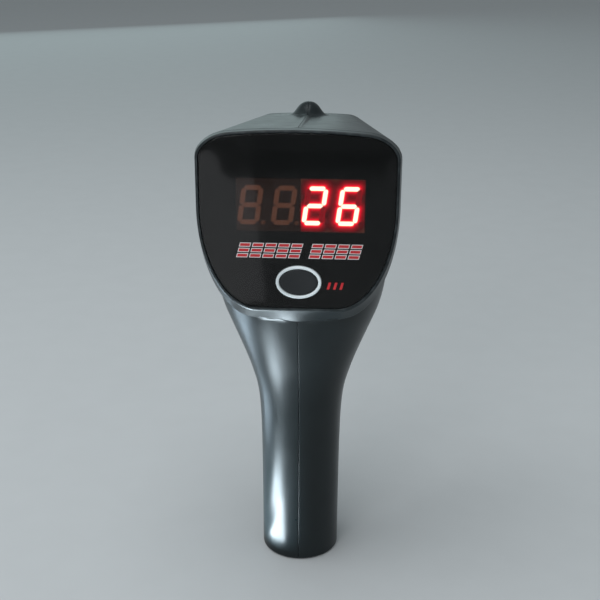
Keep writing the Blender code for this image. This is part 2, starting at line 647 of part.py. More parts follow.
def build_radar():
    """Antenna board on its bracket, with the shield can behind it."""
    bracket = add_object("radar_bracket", loft_mesh([outline(BRACKET_Y[0], WALL + 0.5),
                                                     outline(BRACKET_Y[1], WALL + 0.5)]), NYLON)
    standoffs = bmesh.new()
    length = RADAR_BOARD_Y[0] - GAP - BRACKET_Y[0] - 1.0
    for x, z in RADAR_SCREWS:
        join_meshes(standoffs, turned_mesh((x, BRACKET_Y[0] + 1.0, z), "Y", ((0.0, 3.0), (length, 3.0)), 12))
    boolean(bracket, standoffs, "UNION")
    holes = box_mesh((-20.0, BRACKET_Y[0] - 1.0, 184.0), (20.0, BRACKET_Y[1] + 1.0, 230.5))
    for x, z in RADAR_SCREWS:
        join_meshes(holes, turned_mesh((x, BRACKET_Y[0] + 0.8, z), "Y",
                                       ((0.0, SHANK_BORE_RADIUS), (9.0, SHANK_BORE_RADIUS)), 12))
    boolean(bracket, holes, "DIFFERENCE")
    half_x, half_z = 25.8, 25.2
    outer_box = box_mesh((-half_x, RADAR_BOARD_Y[0], RADAR_CENTRE_Z - half_z),
                         (half_x, RADAR_BOARD_Y[1], RADAR_CENTRE_Z + half_z))
    board = add_object("radar_board", outer_box, BOARD_GREEN)
    bores = bmesh.new()
    for x, z in RADAR_SCREWS:
        join_meshes(bores, turned_mesh((x, RADAR_BOARD_Y[0] - 1.0, z), "Y", ((0.0, 1.5), (4.0, 1.5)), 12))
    boolean(board, bores, "DIFFERENCE")
    shield_front = RADAR_BOARD_Y[0] - GAP
    shield = add_object("radar_shield", box_mesh((-17.0, shield_front - 6.0, 194.0),
                                                 (17.0, shield_front, 229.0), 0.4), TIN)
    boolean(shield, box_mesh((-16.4, shield_front - 5.4, 194.6), (16.4, shield_front + 1.0, 228.4)),
            "DIFFERENCE")
    connector = box_mesh((-8.0, -4.0, -2.5), (8.0, 0.0, 2.5), 0.3)
    add_object("ribbon_connector_front", connector, NYLON, (0.0, shield_front, 188.5))
    for number, (x, z) in enumerate(RADAR_SCREWS, 1):
        add_object(f"radar_screw_{number}", turned_mesh((0.0, 0.0, 0.0), "Y", BOARD_SCREW, 8), STEEL,
                   (x, RADAR_BOARD_Y[1] + GAP, z))


# ---------------------------------------------------------------- trigger

def tube_mesh(points, radius, count=8):
    """Round wire through a list of points, with flat ends."""
    path = [Vector(point) for point in points]
    rings = []
    side = None
    for index, point in enumerate(path):
        ahead = path[min(index + 1, len(path) - 1)]
        behind = path[max(index - 1, 0)]
        forward = (ahead - behind).normalized()
        if side is None:
            side = forward.orthogonal().normalized()
        side = (side - forward * side.dot(forward)).normalized()
        up = forward.cross(side)
        rings.append([point + (side * math.cos(2.0 * math.pi * k / count)
                               + up * math.sin(2.0 * math.pi * k / count)) * radius
                      for k in range(count)])
    return loft_mesh(rings)


def trigger_profile():
    """Side outline of the trigger, from its pivot boss down the finger curve and back up."""
    pivot_y, pivot_z = TRIGGER_PIVOT
    points = []
    for degrees in range(165, 14, -25):
        turn = math.radians(degrees)
        points.append((pivot_y + TRIGGER_BOSS_RADIUS * math.cos(turn),
                       pivot_z + TRIGGER_BOSS_RADIUS * math.sin(turn)))
    for degrees in range(128, 236, 12):
        turn = math.radians(degrees)
        points.append((FINGER_CENTRE[0] + FINGER_RADIUS * math.cos(turn),
                       FINGER_CENTRE[1] + FINGER_RADIUS * math.sin(turn)))
    points += [(33.0, 113.0), (30.5, 111.6), (18.0, 111.6), (18.0, 107.6), (15.9, 107.6)]
    return points


def build_trigger():
    """Trigger blade on its pin, return spring and micro switch."""
    axis = add_axis("trigger_axis", (0.0, *TRIGGER_PIVOT))
    profile = trigger_profile()
    half = TRIGGER_HALF_WIDTH
    rings = []
    for x, shrink in ((-half, 0.7), (-half + 0.7, 0.0), (half - 0.7, 0.0), (half, 0.7)):
        middle = np.mean(profile, axis=0)
        ring = []
        for y, z in profile:
            toward = np.array([middle[0] - y, middle[1] - z])
            toward = toward / np.linalg.norm(toward) * shrink
            ring.append((x, y + toward[0], z + toward[1]))
        rings.append(ring)
    trigger = add_object("trigger", loft_mesh(rings), SLATE)
    cuts = turned_mesh((0.0, *TRIGGER_PIVOT), "X", ((-10.0, PIN_RADIUS + GAP), (10.0, PIN_RADIUS + GAP)), 16)
    boolean(trigger, cuts, "DIFFERENCE")
    boolean(trigger, box_mesh((-2.2, 10.0, 139.5), (2.2, 27.6, 153.0)), "DIFFERENCE")
    shift = Matrix.Translation(-Vector((0.0, *TRIGGER_PIVOT)) * MM)
    trigger.data.transform(shift)
    trigger.parent = axis
    ends = ((-PIN_HALF_LENGTH, PIN_RADIUS), (PIN_HALF_LENGTH, PIN_RADIUS))
    pin = turned_mesh((0.0, 0.0, 0.0), "X", ends, 16)
    add_object("trigger_pin", pin, STEEL, (0.0, *TRIGGER_PIVOT))
    turns, wire_radius, coil_radius = 2.5, 0.35, 2.6
    steps = 20
    coil = [(-1.5, coil_radius, -5.0)]
    for step in range(steps + 1):
        turn = 2.0 * math.pi * turns * step / steps
        coil.append((-1.5 + 3.0 * step / steps, coil_radius * math.cos(turn), coil_radius * math.sin(turn)))
    coil.append((1.5, -coil_radius, 4.5))
    add_object("trigger_spring", tube_mesh(coil, wire_radius, 6), STEEL, (0.0, *TRIGGER_PIVOT), axis)
    switch_box = box_mesh((-3.2, 7.5, SWITCH_Z - 6.5), (3.2, 13.5, SWITCH_Z + 6.5), 0.3)
    switch = add_object("trigger_switch", switch_box, CHIP_BLACK)
    boolean(switch, box_mesh((-1.5, 9.4, SWITCH_Z - 1.5), (1.5, 15.0, SWITCH_Z + 1.5)), "DIFFERENCE")
    plunger_start, plunger_end = 11.2, 15.5
    plunger = box_mesh((-1.2, 0.0, -1.2), (1.2, plunger_end - plunger_start, 1.2), 0.2)
    add_object("trigger_switch_plunger", plunger, RED_WIRE, (0.0, plunger_start, SWITCH_Z))


# ---------------------------------------------------------------- battery and base

def build_battery():
    """Two cells in a cradle, joined by a contact strip."""
    height = CELL_Z[1] - CELL_Z[0]
    profile = ((0.0, CELL_RADIUS - 0.6), (0.6, CELL_RADIUS), (height - 0.6, CELL_RADIUS),
               (height, CELL_RADIUS - 0.6), (height, 3.0), (height + 1.5, 3.0))
    for name, side in (("battery_cell_left", -1.0), ("battery_cell_right", 1.0)):
        add_object(name, turned_mesh((0.0, 0.0, 0.0), "Z", profile, 24), CELL_BLUE,
                   (side * CELL_X, 0.0, CELL_Z[0]))
    floor = CELL_Z[0] - GAP
    cradle_box = box_mesh((-14.0, -11.2, floor - 2.6), (14.0, 11.2, floor + 50.0))
    cradle = add_object("battery_cradle", cradle_box, NYLON)
    boolean(cradle, box_mesh((-15.0, -CELL_RADIUS - GAP, floor), (15.0, CELL_RADIUS + GAP, floor + 60.0)),
            "DIFFERENCE")
    strip_z = CELL_Z[1] + 1.5 + GAP
    add_object("battery_link", box_mesh((-13.0, -3.0, 0.0), (13.0, 3.0, 0.6)), TIN, (0.0, 0.0, strip_z))


def build_base():
    """Base plate held in the shells' groove, and the charging jack in it."""
    profile = ((0.0, 18.4), (0.5, 18.9), (1.2, 18.9), (1.2, 20.3), (2.4, 20.3), (2.4, 18.9), (4.0, 18.9))
    plate = add_object("base_plate", turned_mesh((0.0, 0.0, 0.0), "Z", profile, 32), SLATE)
    boolean(plate, turned_mesh((0.0, JACK_Y, -1.0), "Z", ((0.0, 4.3), (6.0, 4.3)), 16), "DIFFERENCE")
    jack = add_object("charging_jack", turned_mesh((0.0, JACK_Y, 0.4), "Z", ((0.0, 4.0), (12.0, 4.0)), 12),
                      CHIP_BLACK)
    socket = ((-1.0, 2.8), (9.4, 2.8), (9.4, 1.0), (1.5, 1.0), (1.5, 0.2), (-1.0, 0.2))   # (Z, radius)
    boolean(jack, loop_mesh([ellipse_ring((0.0, JACK_Y, z), (r, r), 12, "Z") for z, r in socket]),
            "DIFFERENCE")


def build_housing_screws():
    """Six screws from the right shell into the left one."""
    for number, (y, z) in enumerate(SCREWS, 1):
        profile = ((-8.0, 1.0), (SCREW_HEAD_X, 1.0), (SCREW_HEAD_X, 2.5), (SCREW_HEAD_X + 2.0, 2.0))
        add_object(f"housing_screw_{number}", turned_mesh((0.0, 0.0, 0.0), "X", profile, 10), STEEL,
                   (0.0, y, z))


# ---------------------------------------------------------------- leads

def smooth_route(points, samples):
    """Catmull-Rom curve through a route's points."""
    ends = [points[0]] + [list(p) for p in points] + [points[-1]]
    knots = [np.array(p, dtype=float) for p in ends]
    spans = len(knots) - 3
    route = []
    for step in range(samples + 1):
        place = min(step / samples * spans, spans - 1e-6)
        index = int(place)
        t = place - index
        a, b, c, d = knots[index:index + 4]
        route.append(tuple(0.5 * ((2 * b) + (c - a) * t + (2 * a - 5 * b + 4 * c - d) * t ** 2
                                  + (3 * b - a - 3 * c + d) * t ** 3)))
    return route


def build_leads():
    """Battery and trigger wires, and the flat ribbon to the radar board."""
    wire = 0.8
    board_front = BOARD_REAR_Y + BOARD_THICKNESS + GAP
    entry_y = board_front + 2.5
    entry_z = 175.0 - GAP
    routes = (
        ("battery_lead_positive", RED_WIRE,
         ((6.0, 0.0, 93.2), (7.0, -3.0, 108.0), (12.0, -10.0, 128.0), (17.0, -20.0, 150.0),
          (16.0, entry_y, 166.0), (16.0, entry_y, entry_z))),
        ("battery_lead_negative", BLACK_WIRE,
         ((-3.0, -15.5, 22.0), (-2.0, -15.5, 60.0), (2.0, -13.0, 100.0), (5.0, -9.0, 118.0),
          (9.0, -8.0, 136.0), (12.0, entry_y, 164.0), (12.0, entry_y, entry_z))),
        ("trigger_lead", GREY_WIRE,
         ((0.0, 6.2, 133.6), (-3.0, 1.0, 135.5), (-8.0, -10.0, 146.0), (-14.0, -24.0, 160.0),
          (-14.0, entry_y, 168.0), (-14.0, entry_y, entry_z))),
    )
    for name, look, points in routes:
        add_object(name, tube_mesh(smooth_route(points, 14), wire, 6), look)
    half_width, half_thick = 6.0, 0.4
    rear_y = board_front + 4.0 + GAP
    front_y = RADAR_BOARD_Y[0] - GAP - 4.0 - GAP
    middle = smooth_route(((0.0, rear_y, 199.0), (0.0, rear_y + 8.0, 200.0), (0.0, 0.0, 206.0),
                           (0.0, 40.0, 204.0), (0.0, 66.0, 192.0), (0.0, front_y, 188.5)), 18)
    rings = []
    for index, point in enumerate(middle):
        ahead = Vector(middle[min(index + 1, len(middle) - 1)])
        behind = Vector(middle[max(index - 1, 0)])
        normal = (ahead - behind).normalized().cross(Vector((1.0, 0.0, 0.0)))
        centre = Vector(point)
        across = Vector((half_width, 0.0, 0.0))
        lift = normal * half_thick
        rings.append([centre - across - lift, centre + across - lift,
                      centre + across + lift, centre - across + lift])
    add_object("ribbon_cable", loft_mesh(rings), GREY_WIRE)


def clear_scene():
    for thing in list(bpy.data.objects):
        bpy.data.objects.remove(thing, do_unlink=True)


def build_all():
    clear_scene()
    build_shell("left_shell", -1.0)
    build_shell("right_shell", 1.0)
    build_bezel()
    build_window()
    build_key()
    build_display_board()
    build_front()
    build_radar()
    build_trigger()
    build_battery()
    build_base()
    build_housing_screws()
    build_leads()


build_all()
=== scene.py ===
"""Looks of the hand-held speed radar gun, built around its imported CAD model."""
import json
import math

import bmesh
import bpy
import numpy as np
from mathutils import Matrix, Vector

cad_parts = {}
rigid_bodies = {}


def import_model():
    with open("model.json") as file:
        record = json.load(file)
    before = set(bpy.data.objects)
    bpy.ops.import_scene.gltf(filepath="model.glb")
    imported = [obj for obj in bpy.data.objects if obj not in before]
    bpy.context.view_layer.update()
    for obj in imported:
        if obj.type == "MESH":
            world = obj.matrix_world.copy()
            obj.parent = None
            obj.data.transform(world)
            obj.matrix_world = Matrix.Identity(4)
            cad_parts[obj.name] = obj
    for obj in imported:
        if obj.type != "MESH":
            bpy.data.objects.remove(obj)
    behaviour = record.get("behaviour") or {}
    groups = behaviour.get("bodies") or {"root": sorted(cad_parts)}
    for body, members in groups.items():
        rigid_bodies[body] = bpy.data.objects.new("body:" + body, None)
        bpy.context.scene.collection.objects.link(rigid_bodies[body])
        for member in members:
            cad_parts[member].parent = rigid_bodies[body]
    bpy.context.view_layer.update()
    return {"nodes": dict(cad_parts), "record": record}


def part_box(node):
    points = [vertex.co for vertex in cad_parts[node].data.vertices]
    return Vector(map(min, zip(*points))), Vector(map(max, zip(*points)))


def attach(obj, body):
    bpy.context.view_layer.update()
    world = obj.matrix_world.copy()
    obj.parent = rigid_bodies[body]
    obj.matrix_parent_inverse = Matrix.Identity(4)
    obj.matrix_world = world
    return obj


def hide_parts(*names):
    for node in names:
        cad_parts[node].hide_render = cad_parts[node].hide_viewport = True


MM = 0.001  # one millimetre in scene units

# ---- sizes, in millimetres
GAP = 0.3  # clearance between neighbouring pieces
WALL = 2.4
REAR_Y = -46.0  # rear face of the bezel
SEAM_Y = -38.6  # bezel to shells
SHELL_FRONT_Y = 86.0
TAPER_END_Y = 90.0
FRONT_Y = 94.0
REAR_LIMIT_Y = -60.0
FRONT_LIMIT_Y = 120.0

# Barrel, as (at the rear seam, at the front)
HALF_WIDTH = (51.0, 35.0)
TOP_Z = (256.4, 239.0)
BOTTOM_Z = (157.5, 169.0)
LOW_CORNER_ACROSS = (29.5, 18.0)
LOW_CORNER_UP = (59.3, 34.0)
TOP_CORNER_ACROSS = (16.0, 12.0)
TOP_CORNER_UP = (11.0, 11.0)
CROWN = (3.4, 1.6)
BEZEL_DRAFT = 2.0
BEZEL_RISE = 7.4
BEZEL_TOP_DROP = 0.5

GRIP_RADIUS = 21.6
NECK_Z = 105.0
NECK_FLARE = 0.215
NECK_SOFTNESS = 15.0  # how gently the flare begins
NECK_MAX_HALF_WIDTH = 46.0
NECK_MAX_BLEND = 6.0
DEPTH_FLARE = (0.175, 0.09)  # (towards the rear, towards the front)
DEPTH_FLARE_LIFT = (3.0, 10.0)  # how far above NECK_Z each begins
DEPTH_SOFTNESS = 14.0
FILLET = (3.0, 14.0)  # neck to barrel, at the rear and at the front
FILLET_Y = (-30.0, 15.0)
GRIP_TOP_Z = 200.0
RIDGE_START_Y = -38.0
RIDGE_STEP_Y = 57.0
RIDGE_PEAK_Y = 71.0
RIDGE_RADIUS = (2.0, 7.6)  # (crease, bump)
RIDGE_RISE = (0.9, 7.9)
RIDGE_FILLET = (1.5, 5.5)
PIVOT_Y, PIVOT_Z = 46.0, 118.0  # the shell's sections fan out from here
OUTLINE_CENTRE_Z = 205.0
OUTLINE_POINTS = 240
SHARP_ANGLE = 32.0  # degrees; sharper edges stay hard

SEAM_HALF_GAP = 0.07  # half the gap that shows between the two shells
SEAM_ROUND = 0.32  # rounding of the mould seam's edges
SEAM_FADE_Z = (222.0, 242.0)  # above this the seam's rounding shrinks
SEAM_FADE = 0.7
END_ROUND = 0.4  # rounding at the bezel and front ring
BASE_ROUND = 1.7  # rounding at the grip's lower edge
RIM_ROUND = 0.75  # rounding of the bezel's rear edge
WEAR_DEPTH = 0.15  # rounded away this far, an edge is fully worn
SLOPE_STEP = 0.02  # reach of the finite differences that give normals
ROUND_STEPS = (0.0, 0.06, 0.25, 0.55, 1.0)  # shares of a rounding's radius

POCKET_INSET = 1.3
POCKET_Y = -43.8
PLATE_FRONT_Y = -41.6
LIP_INSET = 3.3
LIP_THICKNESS = 1.7
BEZEL_LIP_Y = -34.0
RING_LIP_Y = 80.4
BOARD_REAR_Y = -36.0
BOARD_SCREWS = ((-30.0, 177.0), (30.0, 177.0), (-30.0, 242.0), (30.0, 242.0))  # (X, Z)

SCREWS = ((13.5, 14.0), (13.5, 95.0), (1.0, 128.0), (60.0, 182.0), (60.0, 226.0), (4.0, 240.0))  # (Y, Z)
POST_RADIUS = 4.0
HEAD_BORE_RADIUS = 2.9
SHANK_BORE_RADIUS = 1.4
SCREW_HEAD_X = 5.3
TRIGGER_PIVOT = (20.5, 145.0)  # (Y, Z)
TRIGGER_BOSS_RADIUS = 4.6
TRIGGER_HALF_WIDTH = 7.0
FINGER_CENTRE = (43.0, 129.0)  # (Y, Z) of the finger curve
FINGER_RADIUS = 15.6
PIN_POST_RADIUS = 3.6
PIN_POST_X = (6.0, 12.6)  # where the pin's bore starts and ends
GROOVE_RADIUS = 20.6  # groove in the shells for the base plate
GROOVE_Z = (0.9, 2.7)
PIN_RADIUS = 1.5

KEY_RING = (11.5, 8.7)
KEY_RING_LINE = 1.6
KEY_HOLE = (KEY_RING[0] - KEY_RING_LINE, KEY_RING[1] - KEY_RING_LINE)

# Seven-segment digits
DIGIT_HALF_WIDTH = 5.6
DIGIT_HALF_HEIGHT = 10.15
DIGIT_PITCH = 16.7
DIGIT_OFFSET = -0.5  # towards the left in its cell, beside the point
SEGMENT_THICKNESS = 2.7
SEGMENT_GAP = 0.12
SEGMENT_RISE = 0.12
DIGIT_SLANT = math.tan(math.radians(8.0))
POINT_RADIUS = 1.25
LIT = {"2": "abged", "6": "acdefg", " ": ""}
FACE_CELL = 0.55
CAPSULE_STEPS = 6  # steps round each end of a bar
POINT_OFFSET = 1.9  # from the digit's right side
# Glow values run from 0 to 1; a bar's are (edge, between, middle). Lit segments are lamps; all other glow is
# painted light.
# painted glow: the whole module face emits a faint brown light
PAINTED_FACE_GLOW = 0.12
# painted halo: light of lit segments spilled over the face as red emission
HALO_FLOOR = 0.31
HALO_RISE = 0.41
HALO_REACH = 1.9  # how far the painted halo of a lit segment spreads over the face
LIT_BAR = (0.76, 0.97, 1.0)
# painted glow: segments that are off still emit, a dim red beside lit ones and a dim brown elsewhere
BESIDE_LIT_BAR_PAINTED_GLOW = (0.50, 0.48, 0.46)
UNLIT_BAR_PAINTED_GLOW = (0.24, 0.29, 0.30)
BESIDE_LIT_POINT_PAINTED_GLOW = (0.38, 0.38, 0.38)
UNLIT_POINT_PAINTED_GLOW = (0.20, 0.24, 0.25)

# Printed marks on the window
STRIPE_Z = (193.4, 196.2, 199.0)  # middles of the three bars of a mark
STRIPE_HALF_HEIGHT = 0.72
STRIPE_SLANT = math.tan(math.radians(15.0))
STRIPE_PITCH = 6.5
STRIPE_WIDTH = 4.9
STRIPE_EDGE = 0.36  # white outline round the red
STRIPE_STARTS = ((-26.6, 5), (9.6, 4))  # (first X, how many)
SMALL_STRIPE_Z = (176.2, 179.9)
SMALL_STRIPES_X = (16.2, 19.4, 22.6)
SMALL_STRIPE_WIDTH = 1.3
PRINT_RISE = 0.06

# Camera, in metres and degrees
CAMERA_DISTANCE = 0.567
CAMERA_HEIGHT = 0.366
CAMERA_YAW = 3.0
CAMERA_PITCH = 20.6
CAMERA_ROLL = 0.25
CAMERA_AIM = 0.08
CAMERA_LENS = 66.0  # with the sensor, in millimetres
CAMERA_SENSOR = 36.0


# ---- housing surface

def rounded_distance(across, along, half_across, half_along):
    """Approximate distance to an ellipse quadrant; negative inside."""
    ratio = np.hypot(across / half_across, along / half_along)
    slope = np.hypot(across / half_across ** 2, along / half_along ** 2)
    inside = -np.minimum(half_across, half_along)
    return np.where(slope > 1e-9, ratio * (ratio - 1.0) / np.maximum(slope, 1e-9), inside)


def blend(first, second, size):
    """Union of two distances with a fillet."""
    overlap = np.maximum(size - np.abs(first - second), 0.0) / size
    return np.minimum(first, second) - overlap ** 2 * size / 4.0


def soft_ramp(value, start, softness):
    """Zero below start, rising at slope 2 above it."""
    return (value - start) + np.sqrt((value - start) ** 2 + softness ** 2)


def smooth_step(value, low, high):
    share = np.clip((value - low) / (high - low), 0.0, 1.0)
    return share * share * (3.0 - 2.0 * share)


def between(pair, share):
    """Number a share of the way from a pair's first to its second."""
    return pair[0] + (pair[1] - pair[0]) * share


def shares_along(y):
    """How far y lies along the taper, and how far along the bezel."""
    return (y - SEAM_Y) / (TAPER_END_Y - SEAM_Y), np.maximum(SEAM_Y - y, 0.0) / (SEAM_Y - REAR_Y)


def barrel_top(y):
    """Height of the barrel's top on the centre plane."""
    forward, rearward = shares_along(y)
    return between(TOP_Z, forward) - BEZEL_TOP_DROP * rearward


def barrel_distance(x, y, z, draft=BEZEL_DRAFT):
    """Tapering barrel: crowned top, upright sides, elliptic lower corners."""
    forward, rearward = shares_along(y)
    width = between(HALF_WIDTH, forward) - draft * rearward
    bottom = between(BOTTOM_Z, forward) + BEZEL_RISE * rearward
    low_across = between(LOW_CORNER_ACROSS, forward)
    low_up = between(LOW_CORNER_UP, forward) - BEZEL_RISE * rearward
    top_across = between(TOP_CORNER_ACROSS, forward)
    top_up = between(TOP_CORNER_UP, forward)
    crowned_z = z + between(CROWN, forward) * (x / width) ** 2
    low = rounded_distance(np.maximum(np.abs(x) - (width - low_across), 0.0),
                           np.maximum(bottom + low_up - z, 0.0), low_across, low_up)
    high = rounded_distance(np.maximum(np.abs(x) - (width - top_across), 0.0),
                            np.maximum(crowned_z - (barrel_top(y) - top_up), 0.0), top_across, top_up)
    ends = np.maximum(REAR_LIMIT_Y - y, y - FRONT_LIMIT_Y)
    return np.maximum(np.maximum(low, high), ends)


def grip_distance(x, y, z):
    """Round grip that flares into the barrel."""
    flare = GRIP_RADIUS + NECK_FLARE * soft_ramp(z, NECK_Z, NECK_SOFTNESS)
    half_width = blend(flare, NECK_MAX_HALF_WIDTH, NECK_MAX_BLEND)
    rear, front = [GRIP_RADIUS + slope * soft_ramp(z, NECK_Z + lift, DEPTH_SOFTNESS)
                   for slope, lift in zip(DEPTH_FLARE, DEPTH_FLARE_LIFT)]
    depth = np.where(y < 0.0, rear, front)
    return np.maximum(rounded_distance(np.abs(x), np.abs(y), half_width, depth), z - GRIP_TOP_Z)


def ridge_distance(x, y, z):
    """Faint crease along the top that ends in a round sight bump."""
    along = np.clip((y - RIDGE_START_Y) / (RIDGE_STEP_Y - RIDGE_START_Y), 0.0, 1.0)
    bump = smooth_step(y, RIDGE_STEP_Y, RIDGE_PEAK_Y)
    rise = RIDGE_RISE[0] * along + (RIDGE_RISE[1] - RIDGE_RISE[0]) * bump
    radius = between(RIDGE_RADIUS, bump)
    centre_z = barrel_top(np.minimum(y, RIDGE_PEAK_Y)) + rise - radius
    past_peak = np.maximum(y - RIDGE_PEAK_Y, 0.0)
    return np.sqrt(x ** 2 + (z - centre_z) ** 2 + past_peak ** 2) - radius


def body_distance(x, y, z):
    """Whole housing: barrel, neck, grip and sight bump."""
    fillet = between(FILLET, smooth_step(y, *FILLET_Y))
    body = blend(barrel_distance(x, y, z, 0.0), grip_distance(x, y, z), fillet)
    bump = smooth_step(y, RIDGE_STEP_Y, RIDGE_PEAK_Y)
    return blend(body, ridge_distance(x, y, z), between(RIDGE_FILLET, bump))


def round_depth(distance, radius):
    """How far a rounded edge lies below the sharp one, at a distance from the edge."""
    short = np.clip(radius - distance, 0.0, radius)
    return radius - np.sqrt(radius ** 2 - short ** 2)


def shell_distance(x, y, z):
    """One shell's outer face, with its edges rounded."""
    fade = 1.0 - SEAM_FADE * smooth_step(z, *SEAM_FADE_Z)
    return (body_distance(x, y, z)
            + round_depth(np.abs(x) - SEAM_HALF_GAP, SEAM_ROUND) * fade
            + round_depth(y - SEAM_Y, END_ROUND)
            + round_depth(SHELL_FRONT_Y - y, END_ROUND)
            + round_depth(z, BASE_ROUND))


def gradient(distance, points):
    """Unit outward normals of a distance function."""
    slopes = []
    for axis in range(3):
        ahead, behind = points.copy(), points.copy()
        ahead[:, axis] += SLOPE_STEP
        behind[:, axis] -= SLOPE_STEP
        slopes.append(distance(*ahead.T) - distance(*behind.T))
    normals = np.stack(slopes, axis=1)
    return normals / np.maximum(np.linalg.norm(normals, axis=1, keepdims=True), 1e-9)


def solve_rays(distance, origins, directions, level):
    """Points along rays where the distance function crosses a level."""
    near = np.zeros(len(origins))
    far = np.full(len(origins), 200.0)
    for _ in range(36):
        middle = (near + far) / 2.0
        points = origins + directions * middle[:, None]
        inside = distance(points[:, 0], points[:, 1], points[:, 2]) < level
        near = np.where(inside, middle, near)
        far = np.where(inside, far, middle)
    return origins + directions * ((near + far) / 2.0)[:, None]


def wall_x(y, z):
    """Half-width of the housing at a point of its side view, in mid wall."""
    start, across = np.array([[0.0, y, z]]), np.array([[1.0, 0.0, 0.0]])
    return float(solve_rays(body_distance, start, across, -WALL / 2.0)[0, 0])


def quarter_turns(steps):
    return [math.pi / 2.0 * step / steps for step in range(steps + 1)]


def outline(y, inset, place_y=None, distance=barrel_distance):
    """Barrel outline at a station, moved inwards, as points at place_y."""
    turn = np.linspace(0.0, 2.0 * math.pi, OUTLINE_POINTS, endpoint=False)
    directions = np.stack([np.cos(turn), np.zeros_like(turn), np.sin(turn)], axis=1)
    origins = np.tile([0.0, y, OUTLINE_CENTRE_Z], (OUTLINE_POINTS, 1))
    points = solve_rays(distance, origins, directions, -inset)
    if place_y is not None:
        points[:, 1] = place_y
    return points


# ---- mesh helpers

def smooth(mesh):
    """Smooth shading that keeps sharp edges."""
    mesh.shade_smooth()
    mesh.set_sharp_from_angle(angle=math.radians(SHARP_ANGLE))


def mesh_of(name, builder):
    """Mesh in metres from a bmesh in millimetres, which is freed."""
    bmesh.ops.scale(builder, vec=(MM, MM, MM), verts=builder.verts)
    bmesh.ops.recalc_face_normals(builder, faces=builder.faces)
    mesh = bpy.data.meshes.new(name)
    builder.to_mesh(mesh)
    builder.free()
    return mesh


def linked(name, data):
    """New object in the scene."""
    thing = bpy.data.objects.new(name, data)
    bpy.context.scene.collection.objects.link(thing)
    return thing


def add_piece(name, builder, look, body="housing", stands_for=()):
    """Turn a bmesh in millimetres into a piece that rides on a CAD body."""
    mesh = mesh_of(name, builder)
    smooth(mesh)
    mesh.materials.append(look)
    piece = linked(name, mesh)
    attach(piece, body)
    if stands_for:
        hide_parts(*stands_for)
    return piece


def join_meshes(target, source):
    """Move a bmesh's faces into another bmesh."""
    copies = {vert: target.verts.new(vert.co) for vert in source.verts}
    for face in source.faces:
        target.faces.new([copies[vert] for vert in face.verts])
    source.free()
    return target


def boolean(piece, tool, operation):
    """Apply one Boolean to a piece with a bmesh tool in millimetres."""
    cutter_mesh = mesh_of("cutter", tool)
    cutter = linked("cutter", cutter_mesh)
    step = piece.modifiers.new(operation.lower(), "BOOLEAN")
    step.object = cutter
    step.operation = operation
    step.solver = "EXACT"
    graph = bpy.context.evaluated_depsgraph_get()
    graph.update()
    shaped = bpy.data.meshes.new_from_object(piece.evaluated_get(graph))
    piece.modifiers.clear()
    old = piece.data
    piece.data = shaped
    bpy.data.meshes.remove(old)
    bpy.data.objects.remove(cutter)
    bpy.data.meshes.remove(cutter_mesh)


def strips(builder, rows, closed):
    """Faces between rows of vertices; closed joins each row's ends."""
    count = len(rows[0])
    for row, following in zip(rows, rows[1:]):
        for index in range(count if closed else count - 1):
            after = (index + 1) % count
            builder.faces.new((row[index], row[after], following[after], following[index]))


def vertex_rows(builder, rings):
    return [[builder.verts.new(point) for point in ring] for ring in rings]


def loft_mesh(rings):
    """Closed solid through rings of equal length, with flat caps."""
    builder = bmesh.new()
    rows = vertex_rows(builder, rings)
    strips(builder, rows, True)
    builder.faces.new(rows[0])
    builder.faces.new(rows[-1])
    return builder


def loop_mesh(rings):
    """Closed ring-shaped solid: the rings join end to end."""
    builder = bmesh.new()
    rows = vertex_rows(builder, rings)
    strips(builder, rows + rows[:1], True)
    return builder


def box_mesh(low, high):
    """Box between two corners."""
    builder = bmesh.new()
    size = [b - a for a, b in zip(low, high)]
    centre = [(a + b) / 2.0 for a, b in zip(low, high)]
    placed = Matrix.Translation(centre) @ Matrix.Diagonal((*size, 1.0))
    bmesh.ops.create_cube(builder, size=1.0, matrix=placed)
    return builder


def ellipse_ring(centre, half_axes, count, axis="Y"):
    """Points of an ellipse across one axis."""
    points = []
    for index in range(count):
        turn = 2.0 * math.pi * index / count
        u = half_axes[0] * math.cos(turn)
        v = half_axes[1] * math.sin(turn)
        offset = {"X": (0.0, u, v), "Y": (u, 0.0, v), "Z": (u, v, 0.0)}[axis]
        points.append([c + o for c, o in zip(centre, offset)])
    return points


def turned_mesh(start, axis, profile, count=32):
    """Solid turned about an axis through start; profile is (distance along axis, radius)."""
    unit = {"X": (1.0, 0.0, 0.0), "Y": (0.0, 1.0, 0.0), "Z": (0.0, 0.0, 1.0)}[axis]
    rings = []
    for along, radius in profile:
        centre = [s + u * along for s, u in zip(start, unit)]
        rings.append(ellipse_ring(centre, (radius, radius), count, axis))
    return loft_mesh(rings)


def mesh_points(mesh):
    """Vertices of a mesh, in millimetres."""
    points = np.empty(len(mesh.vertices) * 3)
    mesh.vertices.foreach_get("co", points)
    return points.reshape(-1, 3) / MM


def write_wear(mesh, values):
    worn = mesh.attributes.new("wear", "FLOAT", "POINT")
    worn.data.foreach_set("value", values)


def centre_of(node):
    """Middle of a CAD node's box, in millimetres."""
    low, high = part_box(node)
    return (low + high) / (2.0 * MM)


# ---- materials

ROUGHNESS_REACH = 2.5
WINDOW_ALPHA = 0.65
LED_STRENGTH = 10.0
